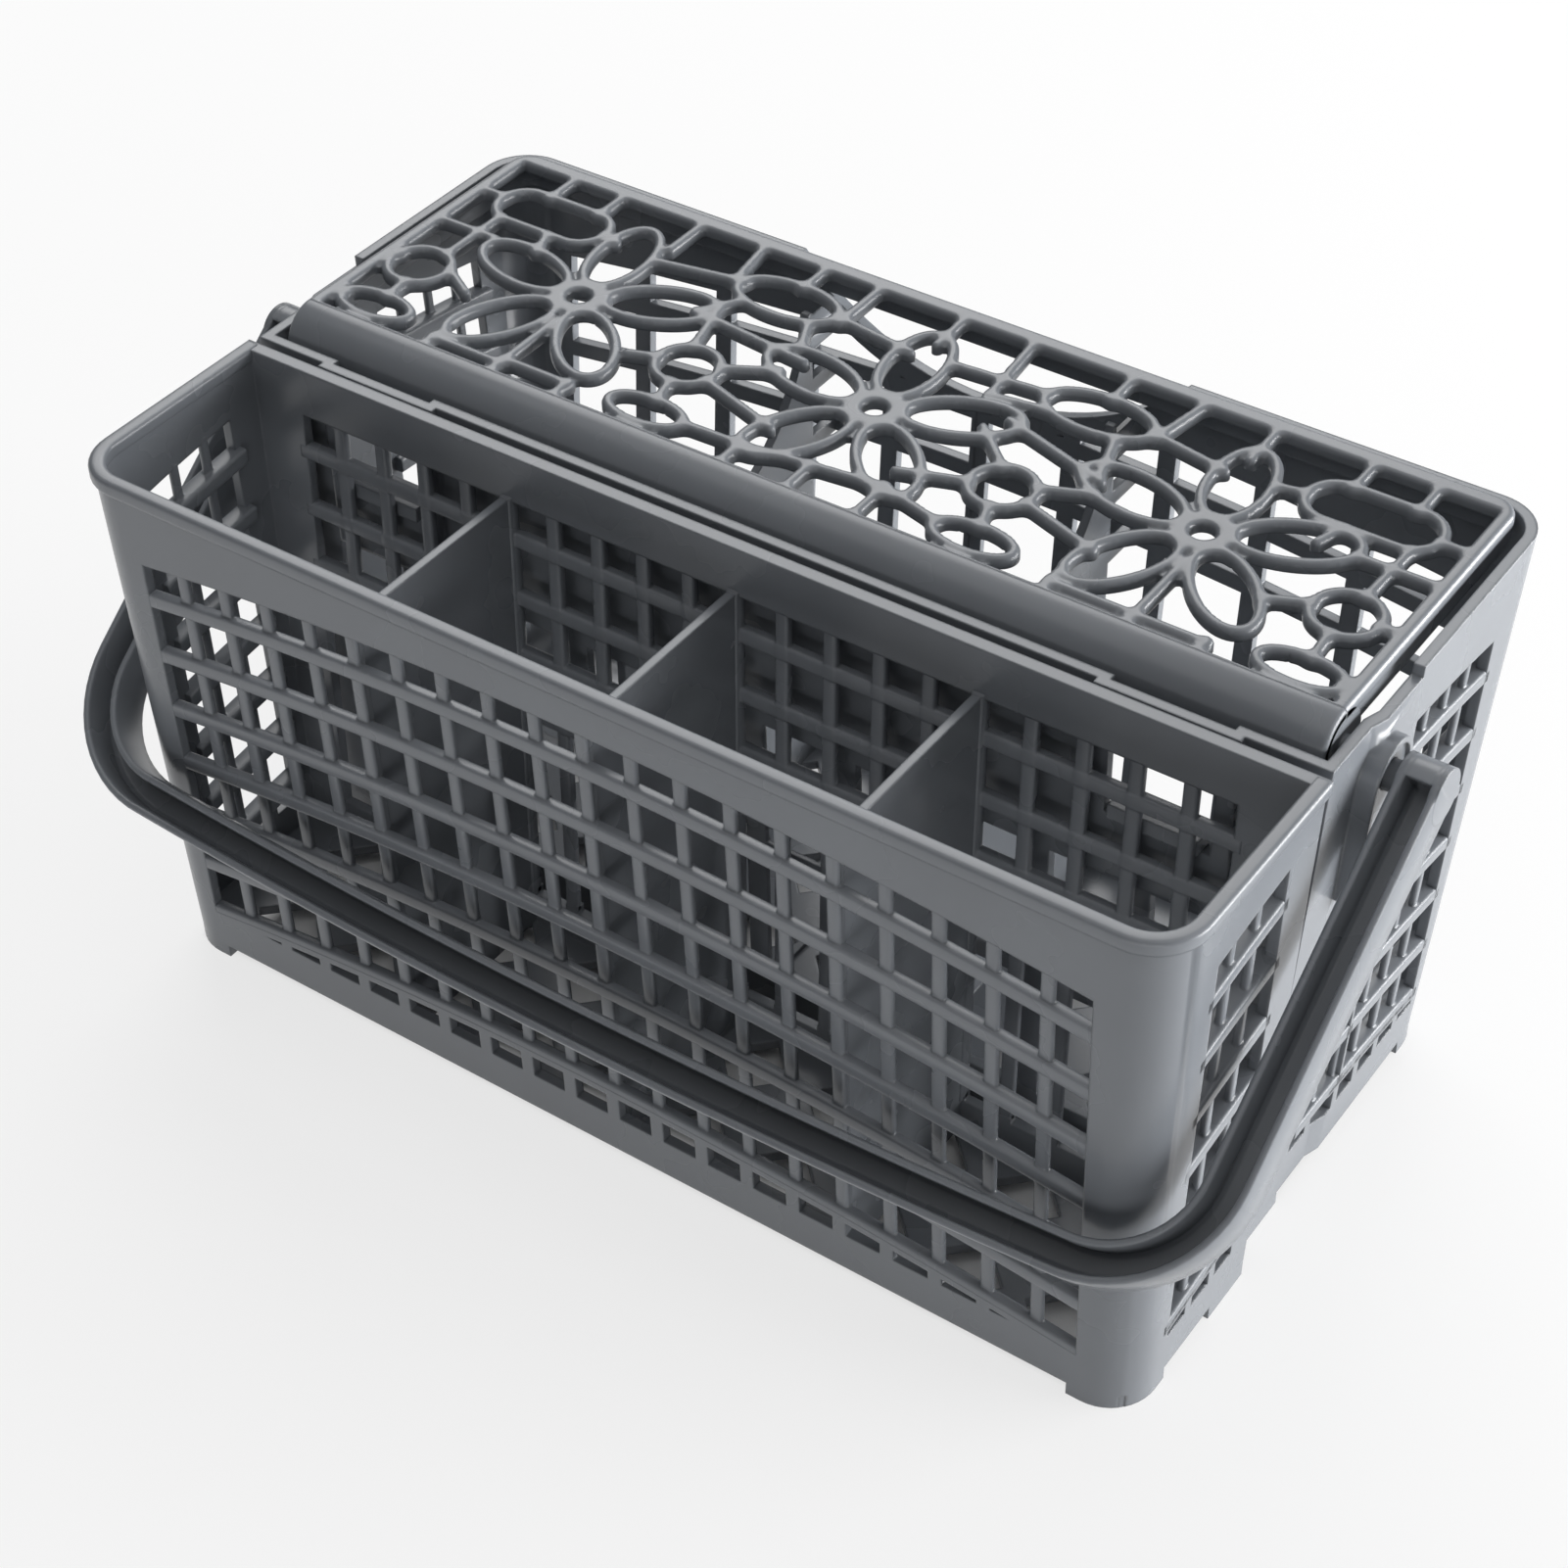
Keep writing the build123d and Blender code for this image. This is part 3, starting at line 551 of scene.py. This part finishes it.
def channel_section():
    """Rounded U: rows of (side, inset, depth), side 0 measured from the inner outline and 1 from the outer."""
    low, high = -handle_depth / 2, handle_depth / 2
    r = flange_rounding
    c = r * (1 - cos(radians(45)))
    floor = high - web
    return [
        (0, 0, high - r), (0, 0, low + r), (0, c, low + c), (0, r, low), (0, flange - r, low),
        (0, flange - c, low + c), (0, flange, low + r), (0, flange, floor - r), (0, flange + r, floor),
        (1, flange + r, floor), (1, flange, floor - r), (1, flange, low + r), (1, flange - c, low + c),
        (1, flange - r, low), (1, r, low), (1, c, low + c), (1, 0, low + r), (1, 0, high - r),
        (1, c, high - c), (1, r, high), (0, r, high), (0, c, high - c),
    ]


def bail_channel():
    """Each section point lies between the two outlines, at its inset from one, and at its depth."""
    inner = bail_outline(arm_inner, grip_reach, inner_bend)
    outer = bail_outline(arm_outer, grip_reach + grip_width, outer_bend)
    outwards = (outer - inner) / np.linalg.norm(outer - inner, axis=1)[:, None]
    flat = np.array([(inset, depth) for side, inset, depth in channel_section()])
    from_outer = np.array([side for side, inset, depth in channel_section()], bool)
    near_inner = inner[:, None] + flat[None, :, :1] * outwards[:, None]
    near_outer = outer[:, None] - flat[None, :, :1] * outwards[:, None]
    plane = np.where(from_outer[None, :, None], near_outer, near_inner)
    points = np.array(pivot) + plane[..., :1] * [1.0, 0.0, 0.0] + plane[..., 1:] * along_arm
    return tube(points + flat[None, :, 1:] * into_web)


def round_bar(start, end, radius, sides=32):
    """Cylinder along X between two places."""
    turns = np.linspace(0, 2 * np.pi, sides, endpoint=False)
    section = radius * np.stack([np.cos(turns), np.sin(turns)], axis=1)
    path = np.array([start, end], float)
    across = np.tile([0.0, 1.0, 0.0], (2, 1))
    up = np.tile([0.0, 0.0, 1.0], (2, 1))
    return carry(path, across, up, section)


def end_wall(near, far, steps=20):
    """Curved wall round an arm's end: a flat section swung half a turn from the web to the mouth."""
    turns = np.linspace(np.pi / 2, 3 * np.pi / 2, steps)
    outwards = np.cos(turns)[:, None] * along_arm + np.sin(turns)[:, None] * into_web
    radii = np.array([handle_depth / 2, handle_depth / 2, handle_depth / 2 - web, handle_depth / 2 - web])
    sides = np.array([near, far, far, near])
    x = np.tile(sides, (steps, 1))[..., None] * [1.0, 0.0, 0.0]
    centre = np.array([0.0, pivot.y, pivot.z])
    return tube(centre + x + radii[None, :, None] * outwards[:, None])


pin_radius = 3.0 * mm
cheek_inset = 0.04 * mm
pin_end = 115.29 * mm


def handle_shapes():
    """The channel, the cheeks and the curved wall that close each arm's end, and the two pivot pins."""
    shapes = [bail_channel()]
    for side in (-1, 1):
        inside = np.array([side * (arm_inner + cheek_inset), pivot.y, pivot.z])
        outside = np.array([side * (arm_outer - cheek_inset), pivot.y, pivot.z])
        thick = np.array([side * flange, 0.0, 0.0])
        pin_tip = np.array([side * pin_end, pivot.y, pivot.z])
        shapes.append(round_bar(inside, inside + thick, handle_depth / 2, 48))
        shapes.append(round_bar(outside - thick, outside, handle_depth / 2, 48))
        shapes.append(end_wall(inside[0] + thick[0] / 2, outside[0] - thick[0] / 2))
        shapes.append(round_bar(pin_tip, inside + thick / 2, pin_radius))
    return joined(shapes)


handle_piece = add_piece("handle_channel", handle_shapes(), "handle")
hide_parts("handle")

# %% [markdown]
# The lid is a grille of rings and ribs inside a band. In the moulding the ribs run into each other with round
# webs. A field does this well: at every place of the plan it holds the distance to the nearest rib, and a
# smooth minimum joins the ribs, so that each corner between two of them fills up. Where the field is less than
# half a rib, there is plastic.

# %% Lid plan
rib_half = 1.1
web_size = 1.6
hinge_pin_length = 2.3
lid_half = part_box("lid")[1].x / mm - hinge_pin_length
lid_front = (hinge.y - parting_y) / mm
lid_back = (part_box("lid")[1].y - parting_y) / mm
lid_corner = 5.0
side_band = 3.0
rear_band = 4.0
grille_front = 12.0
flower_pitch = 70.0
flower_y = 41.3
petal_count = 5
petal_start = 24.0
petal_orbit = 16.6
petal_size = (23.0, 11.6)
eye_radius = 2.4
hub_radius = 6.0
slot_x = 93.0
slot_y = 62.5
slot_size = (26.5, 12.0)
ring_size = (13.0, 12.6)
ring_places = [(-104.0, 33.2), (-38.0, 33.8), (33.0, 33.4), (102.0, 34.4)]
oval_size = (23.0, 11.8)
oval_places = [(-35.0, 63.2), (36.0, 62.9)]
low_oval_size = (16.6, 8.0)
low_oval_places = [(-102.0, 17.2), (-35.7, 17.2), (36.8, 17.2), (102.5, 16.6)]
rear_ribs = [
    (-98.0, -98.0, 68.0), (-85.5, -85.5, 68.0), (-65.5, -65.5, 65.5), (-50.5, -48.0, 64.0),
    (-35.0, -35.0, 68.5), (-22.0, -22.0, 62.0), (-2.5, -2.0, 66.0), (13.0, 15.5, 57.0),
    (35.3, 35.5, 68.5), (51.5, 48.5, 62.0), (66.0, 66.5, 65.5), (86.0, 86.0, 68.0), (99.0, 99.0, 68.0),
]
end_ribs = [
    (63.4, -107.0), (49.5, -98.0), (34.5, -110.0), (17.2, -109.5),
    (61.8, 106.5), (50.0, 96.0), (34.4, 108.0), (16.6, 110.0),
]
front_ribs = [
    (-85.0, 15.5), (-68.5, 32.0), (-53.5, 16.5), (-14.5, 18.0), (0.0, 20.0),
    (15.0, 21.5), (54.5, 16.5), (71.5, 32.0), (85.5, 14.5),
]
cross_ribs = [
    ((-102.0, 56.5), (-102.0, 39.5)), ((-89.5, 56.0), (-87.5, 50.0)), ((-97.5, 35.0), (-90.0, 30.5)),
    ((-102.5, 27.0), (-102.0, 21.0)), ((-85.0, 14.5), (-68.5, 14.5)), ((-68.5, 16.0), (-53.5, 16.0)),
    ((-79.5, 62.5), (-76.0, 61.5)), ((-64.5, 60.5), (-46.0, 64.0)), ((-43.0, 57.0), (-47.5, 50.0)),
    ((-44.5, 33.0), (-50.0, 31.0)), ((-41.0, 40.0), (-43.0, 48.0)), ((-47.5, 50.0), (-20.0, 47.0)),
    ((-26.5, 57.5), (-23.5, 51.0)), ((-23.5, 63.5), (-5.0, 61.0)), ((-32.0, 36.5), (-22.0, 42.0)),
    ((-32.0, 31.5), (-13.0, 25.5)), ((-37.5, 27.5), (-36.0, 21.0)), ((-27.5, 17.5), (-14.5, 18.0)),
    ((-14.5, 18.0), (15.0, 21.5)), ((15.0, 21.5), (28.5, 18.0)), ((14.0, 27.0), (27.0, 31.5)),
    ((34.0, 27.0), (36.0, 21.0)), ((39.0, 31.5), (56.0, 26.0)), ((20.0, 47.5), (30.0, 38.5)),
    ((38.5, 36.5), (48.0, 40.5)), ((23.0, 52.0), (47.0, 44.5)), ((5.0, 62.0), (24.5, 63.5)),
    ((15.5, 57.0), (26.5, 58.5)), ((42.5, 57.5), (46.0, 46.0)), ((47.5, 63.0), (64.0, 60.0)),
    ((75.0, 61.0), (79.5, 62.0)), ((54.5, 14.0), (85.5, 14.0)), ((103.0, 56.5), (102.5, 40.5)),
    ((90.0, 56.0), (88.0, 50.0)), ((95.5, 34.0), (88.0, 30.5)), ((102.0, 28.0), (102.5, 20.5)),
]
print("lid plan:", len(cross_ribs) + len(rear_ribs) + len(end_ribs) + len(front_ribs), "ribs")

# %% [markdown]
# Each kind of rib has its own distance: to a straight line, to an ellipse for the petals and rings, and to a
# stadium for the two slots. The field takes them one after the other, and last it opens the flowers' eyes.


# %% Distances over the plan
def smooth_minimum(a, b, size):
    """The lesser of two distances; where they differ by less than size, the corner is filled in."""
    share = np.clip(0.5 + 0.5 * (b - a) / size, 0, 1)
    return b + (a - b) * share - size * share * (1 - share)


def from_segment(x, y, start, end):
    """Distance to a straight line between two points."""
    run = np.subtract(end, start)
    part = np.clip(((x - start[0]) * run[0] + (y - start[1]) * run[1]) / (run @ run), 0, 1)
    return np.hypot(x - start[0] - part * run[0], y - start[1] - part * run[1])


def from_oval(x, y, centre, size, turned=0.0):
    """Distance to an ellipse, from how far its equation is from one and how fast that grows."""
    across = (x - centre[0]) * cos(turned) + (y - centre[1]) * sin(turned)
    along = (y - centre[1]) * cos(turned) - (x - centre[0]) * sin(turned)
    u, v = across / (size[0] / 2), along / (size[1] / 2)
    level = np.hypot(u, v) + 1e-6
    growth = np.hypot(u / (size[0] / 2), v / (size[1] / 2)) / level + 1e-6
    return np.abs(level - 1) / growth


def from_slot(x, y, centre):
    """Distance to a stadium: the distance to its middle line, less its radius."""
    half_run = (slot_size[0] - slot_size[1]) / 2
    start, end = (centre[0] - half_run, centre[1]), (centre[0] + half_run, centre[1])
    return np.abs(from_segment(x, y, start, end) - slot_size[1] / 2)


def lid_field(x, y):
    """Distance to the nearest rib's middle line, with the ribs smoothly joined and the band as one rib more."""
    from_ends = lid_half - side_band - np.abs(x)
    inside_band = np.minimum(from_ends, np.minimum(y - grille_front, lid_back - rear_band - y))
    parts = [inside_band + rib_half]
    flowers = [(shift, flower_y) for shift in (-flower_pitch, 0.0, flower_pitch)]
    for centre in flowers:
        for petal in range(petal_count):
            angle = radians(petal_start + 360 * petal / petal_count)
            middle = (centre[0] + petal_orbit * cos(angle), centre[1] + petal_orbit * sin(angle))
            parts.append(from_oval(x, y, middle, petal_size, angle))
        parts.append(np.hypot(x - centre[0], y - centre[1]) - hub_radius + rib_half)
    parts += [from_slot(x, y, (side * slot_x, slot_y)) for side in (-1, 1)]
    rings = ((ring_places, ring_size), (oval_places, oval_size), (low_oval_places, low_oval_size))
    for places, size in rings:
        parts += [from_oval(x, y, place, size) for place in places]
    parts += [from_segment(x, y, (top, lid_back), (tip, end)) for top, tip, end in rear_ribs]
    parts += [from_segment(x, y, (np.copysign(lid_half, tip), at), (tip, at)) for at, tip in end_ribs]
    parts += [from_segment(x, y, (at, lid_front), (at, tip)) for at, tip in front_ribs]
    parts += [from_segment(x, y, start, end) for start, end in cross_ribs]
    field = parts[0]
    for part in parts[1:]:
        field = smooth_minimum(field, part, web_size)
    for centre in flowers:
        field = np.maximum(field, rib_half + eye_radius - np.hypot(x - centre[0], y - centre[1]))
    return field


# %% [markdown]
# The field becomes a surface on a fine grid. Points that lie near the edge of the plastic slide onto it, along
# the field's slope, so that the outlines come out smooth. Each cell with all its corners in the plastic gives a
# quad, and one with three corners gives a triangle. The top is rounded towards the edge, the underside is flat,
# and a wall joins the two along every outline.

# %% Grille surface
cell = 0.42
edge_rounding = 0.9
lid_plate = 2.4
lid_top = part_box("lid")[1].z / mm


def outline_field(x, y):
    """Distance beyond the lid's own outline, whose two rear corners are round."""
    past_x = np.abs(x) - (lid_half - lid_corner)
    past_y = y - (lid_back - lid_corner)
    corner = np.hypot(np.maximum(past_x, 0), np.maximum(past_y, 0))
    return corner + np.minimum(np.maximum(past_x, past_y), 0) - lid_corner


def plastic_field(x, y):
    """Less than half a rib inside the plastic: the ribs, cut off at the lid's outline."""
    return np.maximum(lid_field(x, y), outline_field(x, y) + rib_half)


def grid_faces(inside):
    """Quads of the cells with four corners inside and triangles of those with three."""
    number = np.arange(inside.size).reshape(inside.shape)
    corners = np.stack([number[:-1, :-1], number[1:, :-1], number[1:, 1:], number[:-1, 1:]], axis=-1)
    kept = np.stack([inside[:-1, :-1], inside[1:, :-1], inside[1:, 1:], inside[:-1, 1:]], axis=-1)
    count = kept.sum(axis=-1)
    quads = corners[count == 4]
    triangles = corners[count == 3][kept[count == 3]].reshape(-1, 3)
    return quads, triangles


def open_edges(quads, triangles):
    """Edges that belong to one face only, each in that face's direction."""
    pairs = []
    for faces in (quads, triangles):
        corners = faces.shape[1]
        pairs += [faces[:, [i, (i + 1) % corners]] for i in range(corners)]
    pairs = np.concatenate(pairs)
    size = pairs.max() + 1
    forward, backward = pairs[:, 0] * size + pairs[:, 1], pairs[:, 1] * size + pairs[:, 0]
    return pairs[~np.isin(forward, backward)]


def grille():
    """Rounded top, flat underside and walls of all the plastic in the lid's plan."""
    x = np.linspace(-lid_half, lid_half, round(2 * lid_half / cell) + 1)
    y = np.linspace(lid_front, lid_back, round((lid_back - lid_front) / cell) + 1)
    px, py = np.meshgrid(x, y, indexing="ij")
    miss = plastic_field(px, py) - rib_half
    slope_x, slope_y = np.gradient(miss, x, y)
    steep = np.maximum(slope_x**2 + slope_y**2, 0.3)
    near = (np.abs(miss) < 0.5 * cell) & (py > lid_front + cell)
    px = np.where(near, px - miss * slope_x / steep, px)
    py = np.where(near, py - miss * slope_y / steep, py)
    quads, triangles = grid_faces(near | (miss < 0))
    towards_edge = np.clip((plastic_field(px, py) - rib_half) / edge_rounding + 1, 0, 1)
    drop = edge_rounding * (1 - np.sqrt(1 - np.where(near, 1, towards_edge) ** 2))
    top = np.stack([px, py, lid_top - drop], axis=-1).reshape(-1, 3)
    under = np.stack([px, py, np.full_like(px, lid_top - lid_plate)], axis=-1).reshape(-1, 3)
    edges = open_edges(quads, triangles)
    walls = np.stack([edges[:, 0], edges[:, 0] + len(top), edges[:, 1] + len(top), edges[:, 1]], axis=-1)
    used = np.unique(np.concatenate([quads.ravel(), triangles.ravel()]))
    used = np.concatenate([used, used + len(top)])
    renumber = np.zeros(2 * len(top), int)
    renumber[used] = np.arange(len(used))
    faces = [quads, triangles, quads[:, ::-1] + len(top), triangles[:, ::-1] + len(top), walls]
    points = np.concatenate([top, under])[used] * mm + [0.0, parting_y, 0.0]
    return points, [face for group in faces for face in renumber[group].tolist()]


lid_piece = add_piece("lid_grille", grille(), "lid", smooth_angle=50)
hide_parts("lid")

# %% [markdown]
# In front of the grille the lid rolls over its hinge: a bent strip of even thickness whose radius shrinks in a
# round at each end. A skirt hangs under the band at the two ends and the back, set in a little from its edge.

# %% Hinge roll and skirt
roll_radius = lid_top * mm - hinge.z
roll_wall = 2.0 * mm
skirt_height = 6.5 * mm
skirt_wall = 1.7 * mm
skirt_inset = 0.3 * mm
skirt_overlap = 1.5 * mm
skirt_reach = 1.0 * mm
end_round = 0.9 * mm
hinge_cheek = 2.0 * mm
hinge_pin_radius = 2.0 * mm


def hinge_roll():
    """Point at length x and turn t: the hinge plus r(x) times (cos t, sin t); r falls in a circle at each end."""
    half = lid_half * mm
    ends = half - end_round * (1 - np.cos(np.linspace(0, np.pi / 2, 7)))
    x = np.concatenate([-ends, np.linspace(-ends[-1], ends[-1], 24)[1:-1], ends[::-1]])
    past = np.maximum(np.abs(x) - (half - end_round), 0)
    shrink = end_round - np.sqrt(np.maximum(end_round**2 - past**2, 0))
    turns = np.radians(np.linspace(90, 205, 26))
    ring = np.stack([np.cos(turns), np.sin(turns)], axis=1)
    outer = (roll_radius - shrink)[:, None, None] * ring
    inner = np.broadcast_to((roll_radius - roll_wall) * ring, outer.shape)
    section = np.concatenate([outer, inner[:, ::-1]], axis=1)
    lengths = np.broadcast_to(x[:, None], section.shape[:2])
    points = np.stack([lengths, section[..., 0], section[..., 1]], axis=-1)
    return tube(points + [0.0, hinge.y, hinge.z])


def skirt():
    """Upright strip under the band: down one end, round the back corners and down the other end."""
    turns = np.radians(np.linspace(0, 90, 13))
    half, back, radius = (value * mm - skirt_inset for value in (lid_half, lid_back, lid_corner))
    corner = np.stack([half - radius + radius * np.cos(turns), back - radius + radius * np.sin(turns)], axis=1)
    right = np.concatenate([[[half, lid_front * mm - skirt_reach]], corner])
    plan = np.concatenate([right, right[::-1] * [-1, 1]])
    path = np.stack([plan[:, 0], plan[:, 1] + parting_y, np.full(len(plan), lid_top * mm)], axis=1)
    run = np.gradient(path, axis=0)
    run = run / np.linalg.norm(run, axis=1)[:, None]
    up = np.tile([0.0, 0.0, 1.0], (len(path), 1))
    section = [(0.0, -skirt_overlap), (0.0, -skirt_height)]
    section += [(-skirt_wall, -skirt_height), (-skirt_wall, -skirt_overlap)]
    return carry(path, np.cross(run, up), up, section)


def hinge_ends():
    """Round cheeks and pins at the two ends of the roll."""
    shapes = []
    for side in (-1, 1):
        face = np.array([side * lid_half * mm, hinge.y, hinge.z])
        shapes.append(round_bar(face - [side * hinge_cheek, 0, 0], face, roll_radius - end_round, 64))
        shapes.append(round_bar(face, face + [side * hinge_pin_length * mm, 0, 0], hinge_pin_radius))
    return joined(shapes)


add_piece("lid_roll", hinge_roll(), "lid")
add_piece("lid_skirt", skirt(), "lid")
add_piece("lid_hinge_ends", hinge_ends(), "lid")

# %% [markdown]
# A white studio with four soft panels: a wide one above, one behind that lights the lid's top, a strong one on the
# right and a weak one in front. The right faces shine, the front stays a middle grey and the insides stay
# dark. The paper floor is a pale diffuse surface that keeps the shadow. To the camera and in reflections it is
# mixed with a white glow, so that it meets the background without a line. The glow is weaker near the tubs and
# fades out under them, by a mask of place. This is painted shade: there the paper falls to its lit grey, so the
# dark there is partly real shadow and partly painted.

# %% Floor and light
half_floor = 45.0
paper_tone = 0.8
# The glow's share near and under the basket is a mask of place that paints shade there, down to the floor's lit
# diffuse grey.
glow_share_in_painted_shade = 0.74
fade_start, fade_end = -12.0 * mm, -1.0 * mm
far_start, far_end = 0.1, 1.2
floor_mesh = bpy.data.meshes.new("studio_floor")
floor_corners = [(-half_floor, -half_floor, 0), (half_floor, -half_floor, 0)]
floor_corners += [(half_floor, half_floor, 0), (-half_floor, half_floor, 0)]
floor_mesh.from_pydata(floor_corners, [], [(0, 1, 2, 3)])
floor = scene_object("studio_floor", floor_mesh)
paper = bpy.data.materials.new("white_paper")
paper.use_nodes = True
paper_nodes, paper_links = paper.node_tree.nodes, paper.node_tree.links
sheet = paper_nodes["Principled BSDF"]
sheet.inputs["Base Color"].default_value = (paper_tone, paper_tone, paper_tone, 1.0)
sheet.inputs["Roughness"].default_value = 0.9
sheet.inputs["Specular IOR Level"].default_value = 0.0


def paper_math(operation, first, second):
    """Math node on the paper: an input is a socket or a number."""
    node = paper_nodes.new("ShaderNodeMath")
    node.operation = operation
    for socket, value in zip(node.inputs, (first, second)):
        if isinstance(value, float):
            socket.default_value = value
        else:
            paper_links.new(value, socket)
    return node.outputs["Value"]


def paper_range(value, low, high, lowest=0.0):
    """Map Range node on the paper: from the lowest share at low to one at high."""
    node = paper_nodes.new("ShaderNodeMapRange")
    node.inputs["From Min"].default_value = low
    node.inputs["From Max"].default_value = high
    node.inputs["To Min"].default_value = lowest
    paper_links.new(value, node.inputs["Value"])
    return node.outputs["Result"]


rays = paper_nodes.new("ShaderNodeLightPath").outputs
seen = paper_math("MAXIMUM", rays["Is Camera Ray"], rays["Is Glossy Ray"])
seen = paper_math("MAXIMUM", seen, rays["Is Transmission Ray"])
paper_places = paper_nodes.new("ShaderNodeTexCoord")
place_axes = paper_nodes.new("ShaderNodeSeparateXYZ")
paper_links.new(paper_places.outputs["Object"], place_axes.inputs["Vector"])
# Painted shade: a mask of place, measured from the feet outwards, takes the white glow away under the tubs and
# weakens it beside them.
middle_y, half_y = sum(foot_edges) / 2, (foot_edges[1] - foot_edges[0]) / 2
from_middle = paper_math("SUBTRACT", place_axes.outputs["Y"], float(middle_y))
past_end = paper_math("SUBTRACT", paper_math("ABSOLUTE", place_axes.outputs["X"], 0.0), float(foot_half))
past_side = paper_math("SUBTRACT", paper_math("ABSOLUTE", from_middle, 0.0), float(half_y))
past_feet = paper_math("MAXIMUM", past_end, past_side)
glow_outside_painted_shade = paper_range(past_feet, fade_start, fade_end)
painted_shade_falloff = paper_range(past_feet, far_start, far_end, glow_share_in_painted_shade)
glow_less_painted_shade = paper_math("MULTIPLY", glow_outside_painted_shade, painted_shade_falloff)
glow = paper_nodes.new("ShaderNodeEmission")
glow.inputs["Color"].default_value = (1.0, 1.0, 1.0, 1.0)
mixed = paper_nodes.new("ShaderNodeMixShader")
paper_links.new(paper_math("MULTIPLY", seen, glow_less_painted_shade), mixed.inputs["Fac"])
paper_links.new(sheet.outputs["BSDF"], mixed.inputs[1])
paper_links.new(glow.outputs["Emission"], mixed.inputs[2])
paper_links.new(mixed.outputs["Shader"], paper_nodes["Material Output"].inputs["Surface"])
floor.data.materials.append(paper)

world_strength = 0.1
world = bpy.data.worlds.new("studio")
bpy.context.scene.world = world
world.use_nodes = True
background = world.node_tree.nodes["Background"]
background.inputs["Color"].default_value = (1.0, 1.0, 1.0, 1.0)
background.inputs["Strength"].default_value = world_strength
basket_middle = Vector((0, 0, 0.06))


def soft_light(name, place, width, height, power):
    """Rectangular area light that faces the basket."""
    lamp = bpy.data.lights.new(name, "AREA")
    lamp.shape = "RECTANGLE"
    lamp.size = width
    lamp.size_y = height
    lamp.energy = power
    holder = bpy.data.objects.new(name, lamp)
    holder.location = place
    aim = basket_middle - Vector(place)
    holder.rotation_euler = aim.to_track_quat("-Z", "Y").to_euler()
    bpy.context.scene.collection.objects.link(holder)


soft_light("sky_panel", (0.1, -0.1, 1.3), 1.8, 1.8, 8.5)
soft_light("back_panel", (-0.55, 0.8, 0.9), 1.0, 0.8, 9.5)
soft_light("right_panel", (0.85, 0.5, 0.14), 0.9, 0.4, 23.0)
soft_light("front_panel", (0.45, -1.1, 0.12), 1.2, 0.35, 4.2)

# %% [markdown]
# The camera stands where the photographer stood: above the front right corner, with the image turned a little.
# Its three axes follow from the azimuth, the elevation and that turn.

# %% Camera
azimuth = radians(35.58)
elevation = radians(41.13)
turn = radians(-1.18)
camera_place = Vector((271.7 * mm, -370.2 * mm + parting_y, 462.9 * mm))
image_size = 1601
focal_pixels = 3233.0

away = Vector((sin(azimuth) * cos(elevation), -cos(azimuth) * cos(elevation), sin(elevation)))
level_right = Vector((cos(azimuth), sin(azimuth), 0.0))
level_up = away.cross(level_right)
right = cos(turn) * level_right + sin(turn) * level_up
up = cos(turn) * level_up - sin(turn) * level_right
camera_data = bpy.data.cameras.new("photo_camera")
camera_data.sensor_width = 36.0
camera_data.lens = camera_data.sensor_width * focal_pixels / image_size
camera_data.clip_start = 0.01
camera = bpy.data.objects.new("photo_camera", camera_data)
axes = Matrix((right, up, away)).transposed().to_4x4()
camera.matrix_world = Matrix.Translation(camera_place) @ axes
bpy.context.scene.collection.objects.link(camera)
bpy.context.scene.camera = camera
bpy.context.scene.view_settings.view_transform = "Standard"
print("lens:", round(camera_data.lens, 1), "mm")

# %% [markdown]
# Last, the scene is brought up to date.

# %% Scene update
bpy.context.view_layer.update()
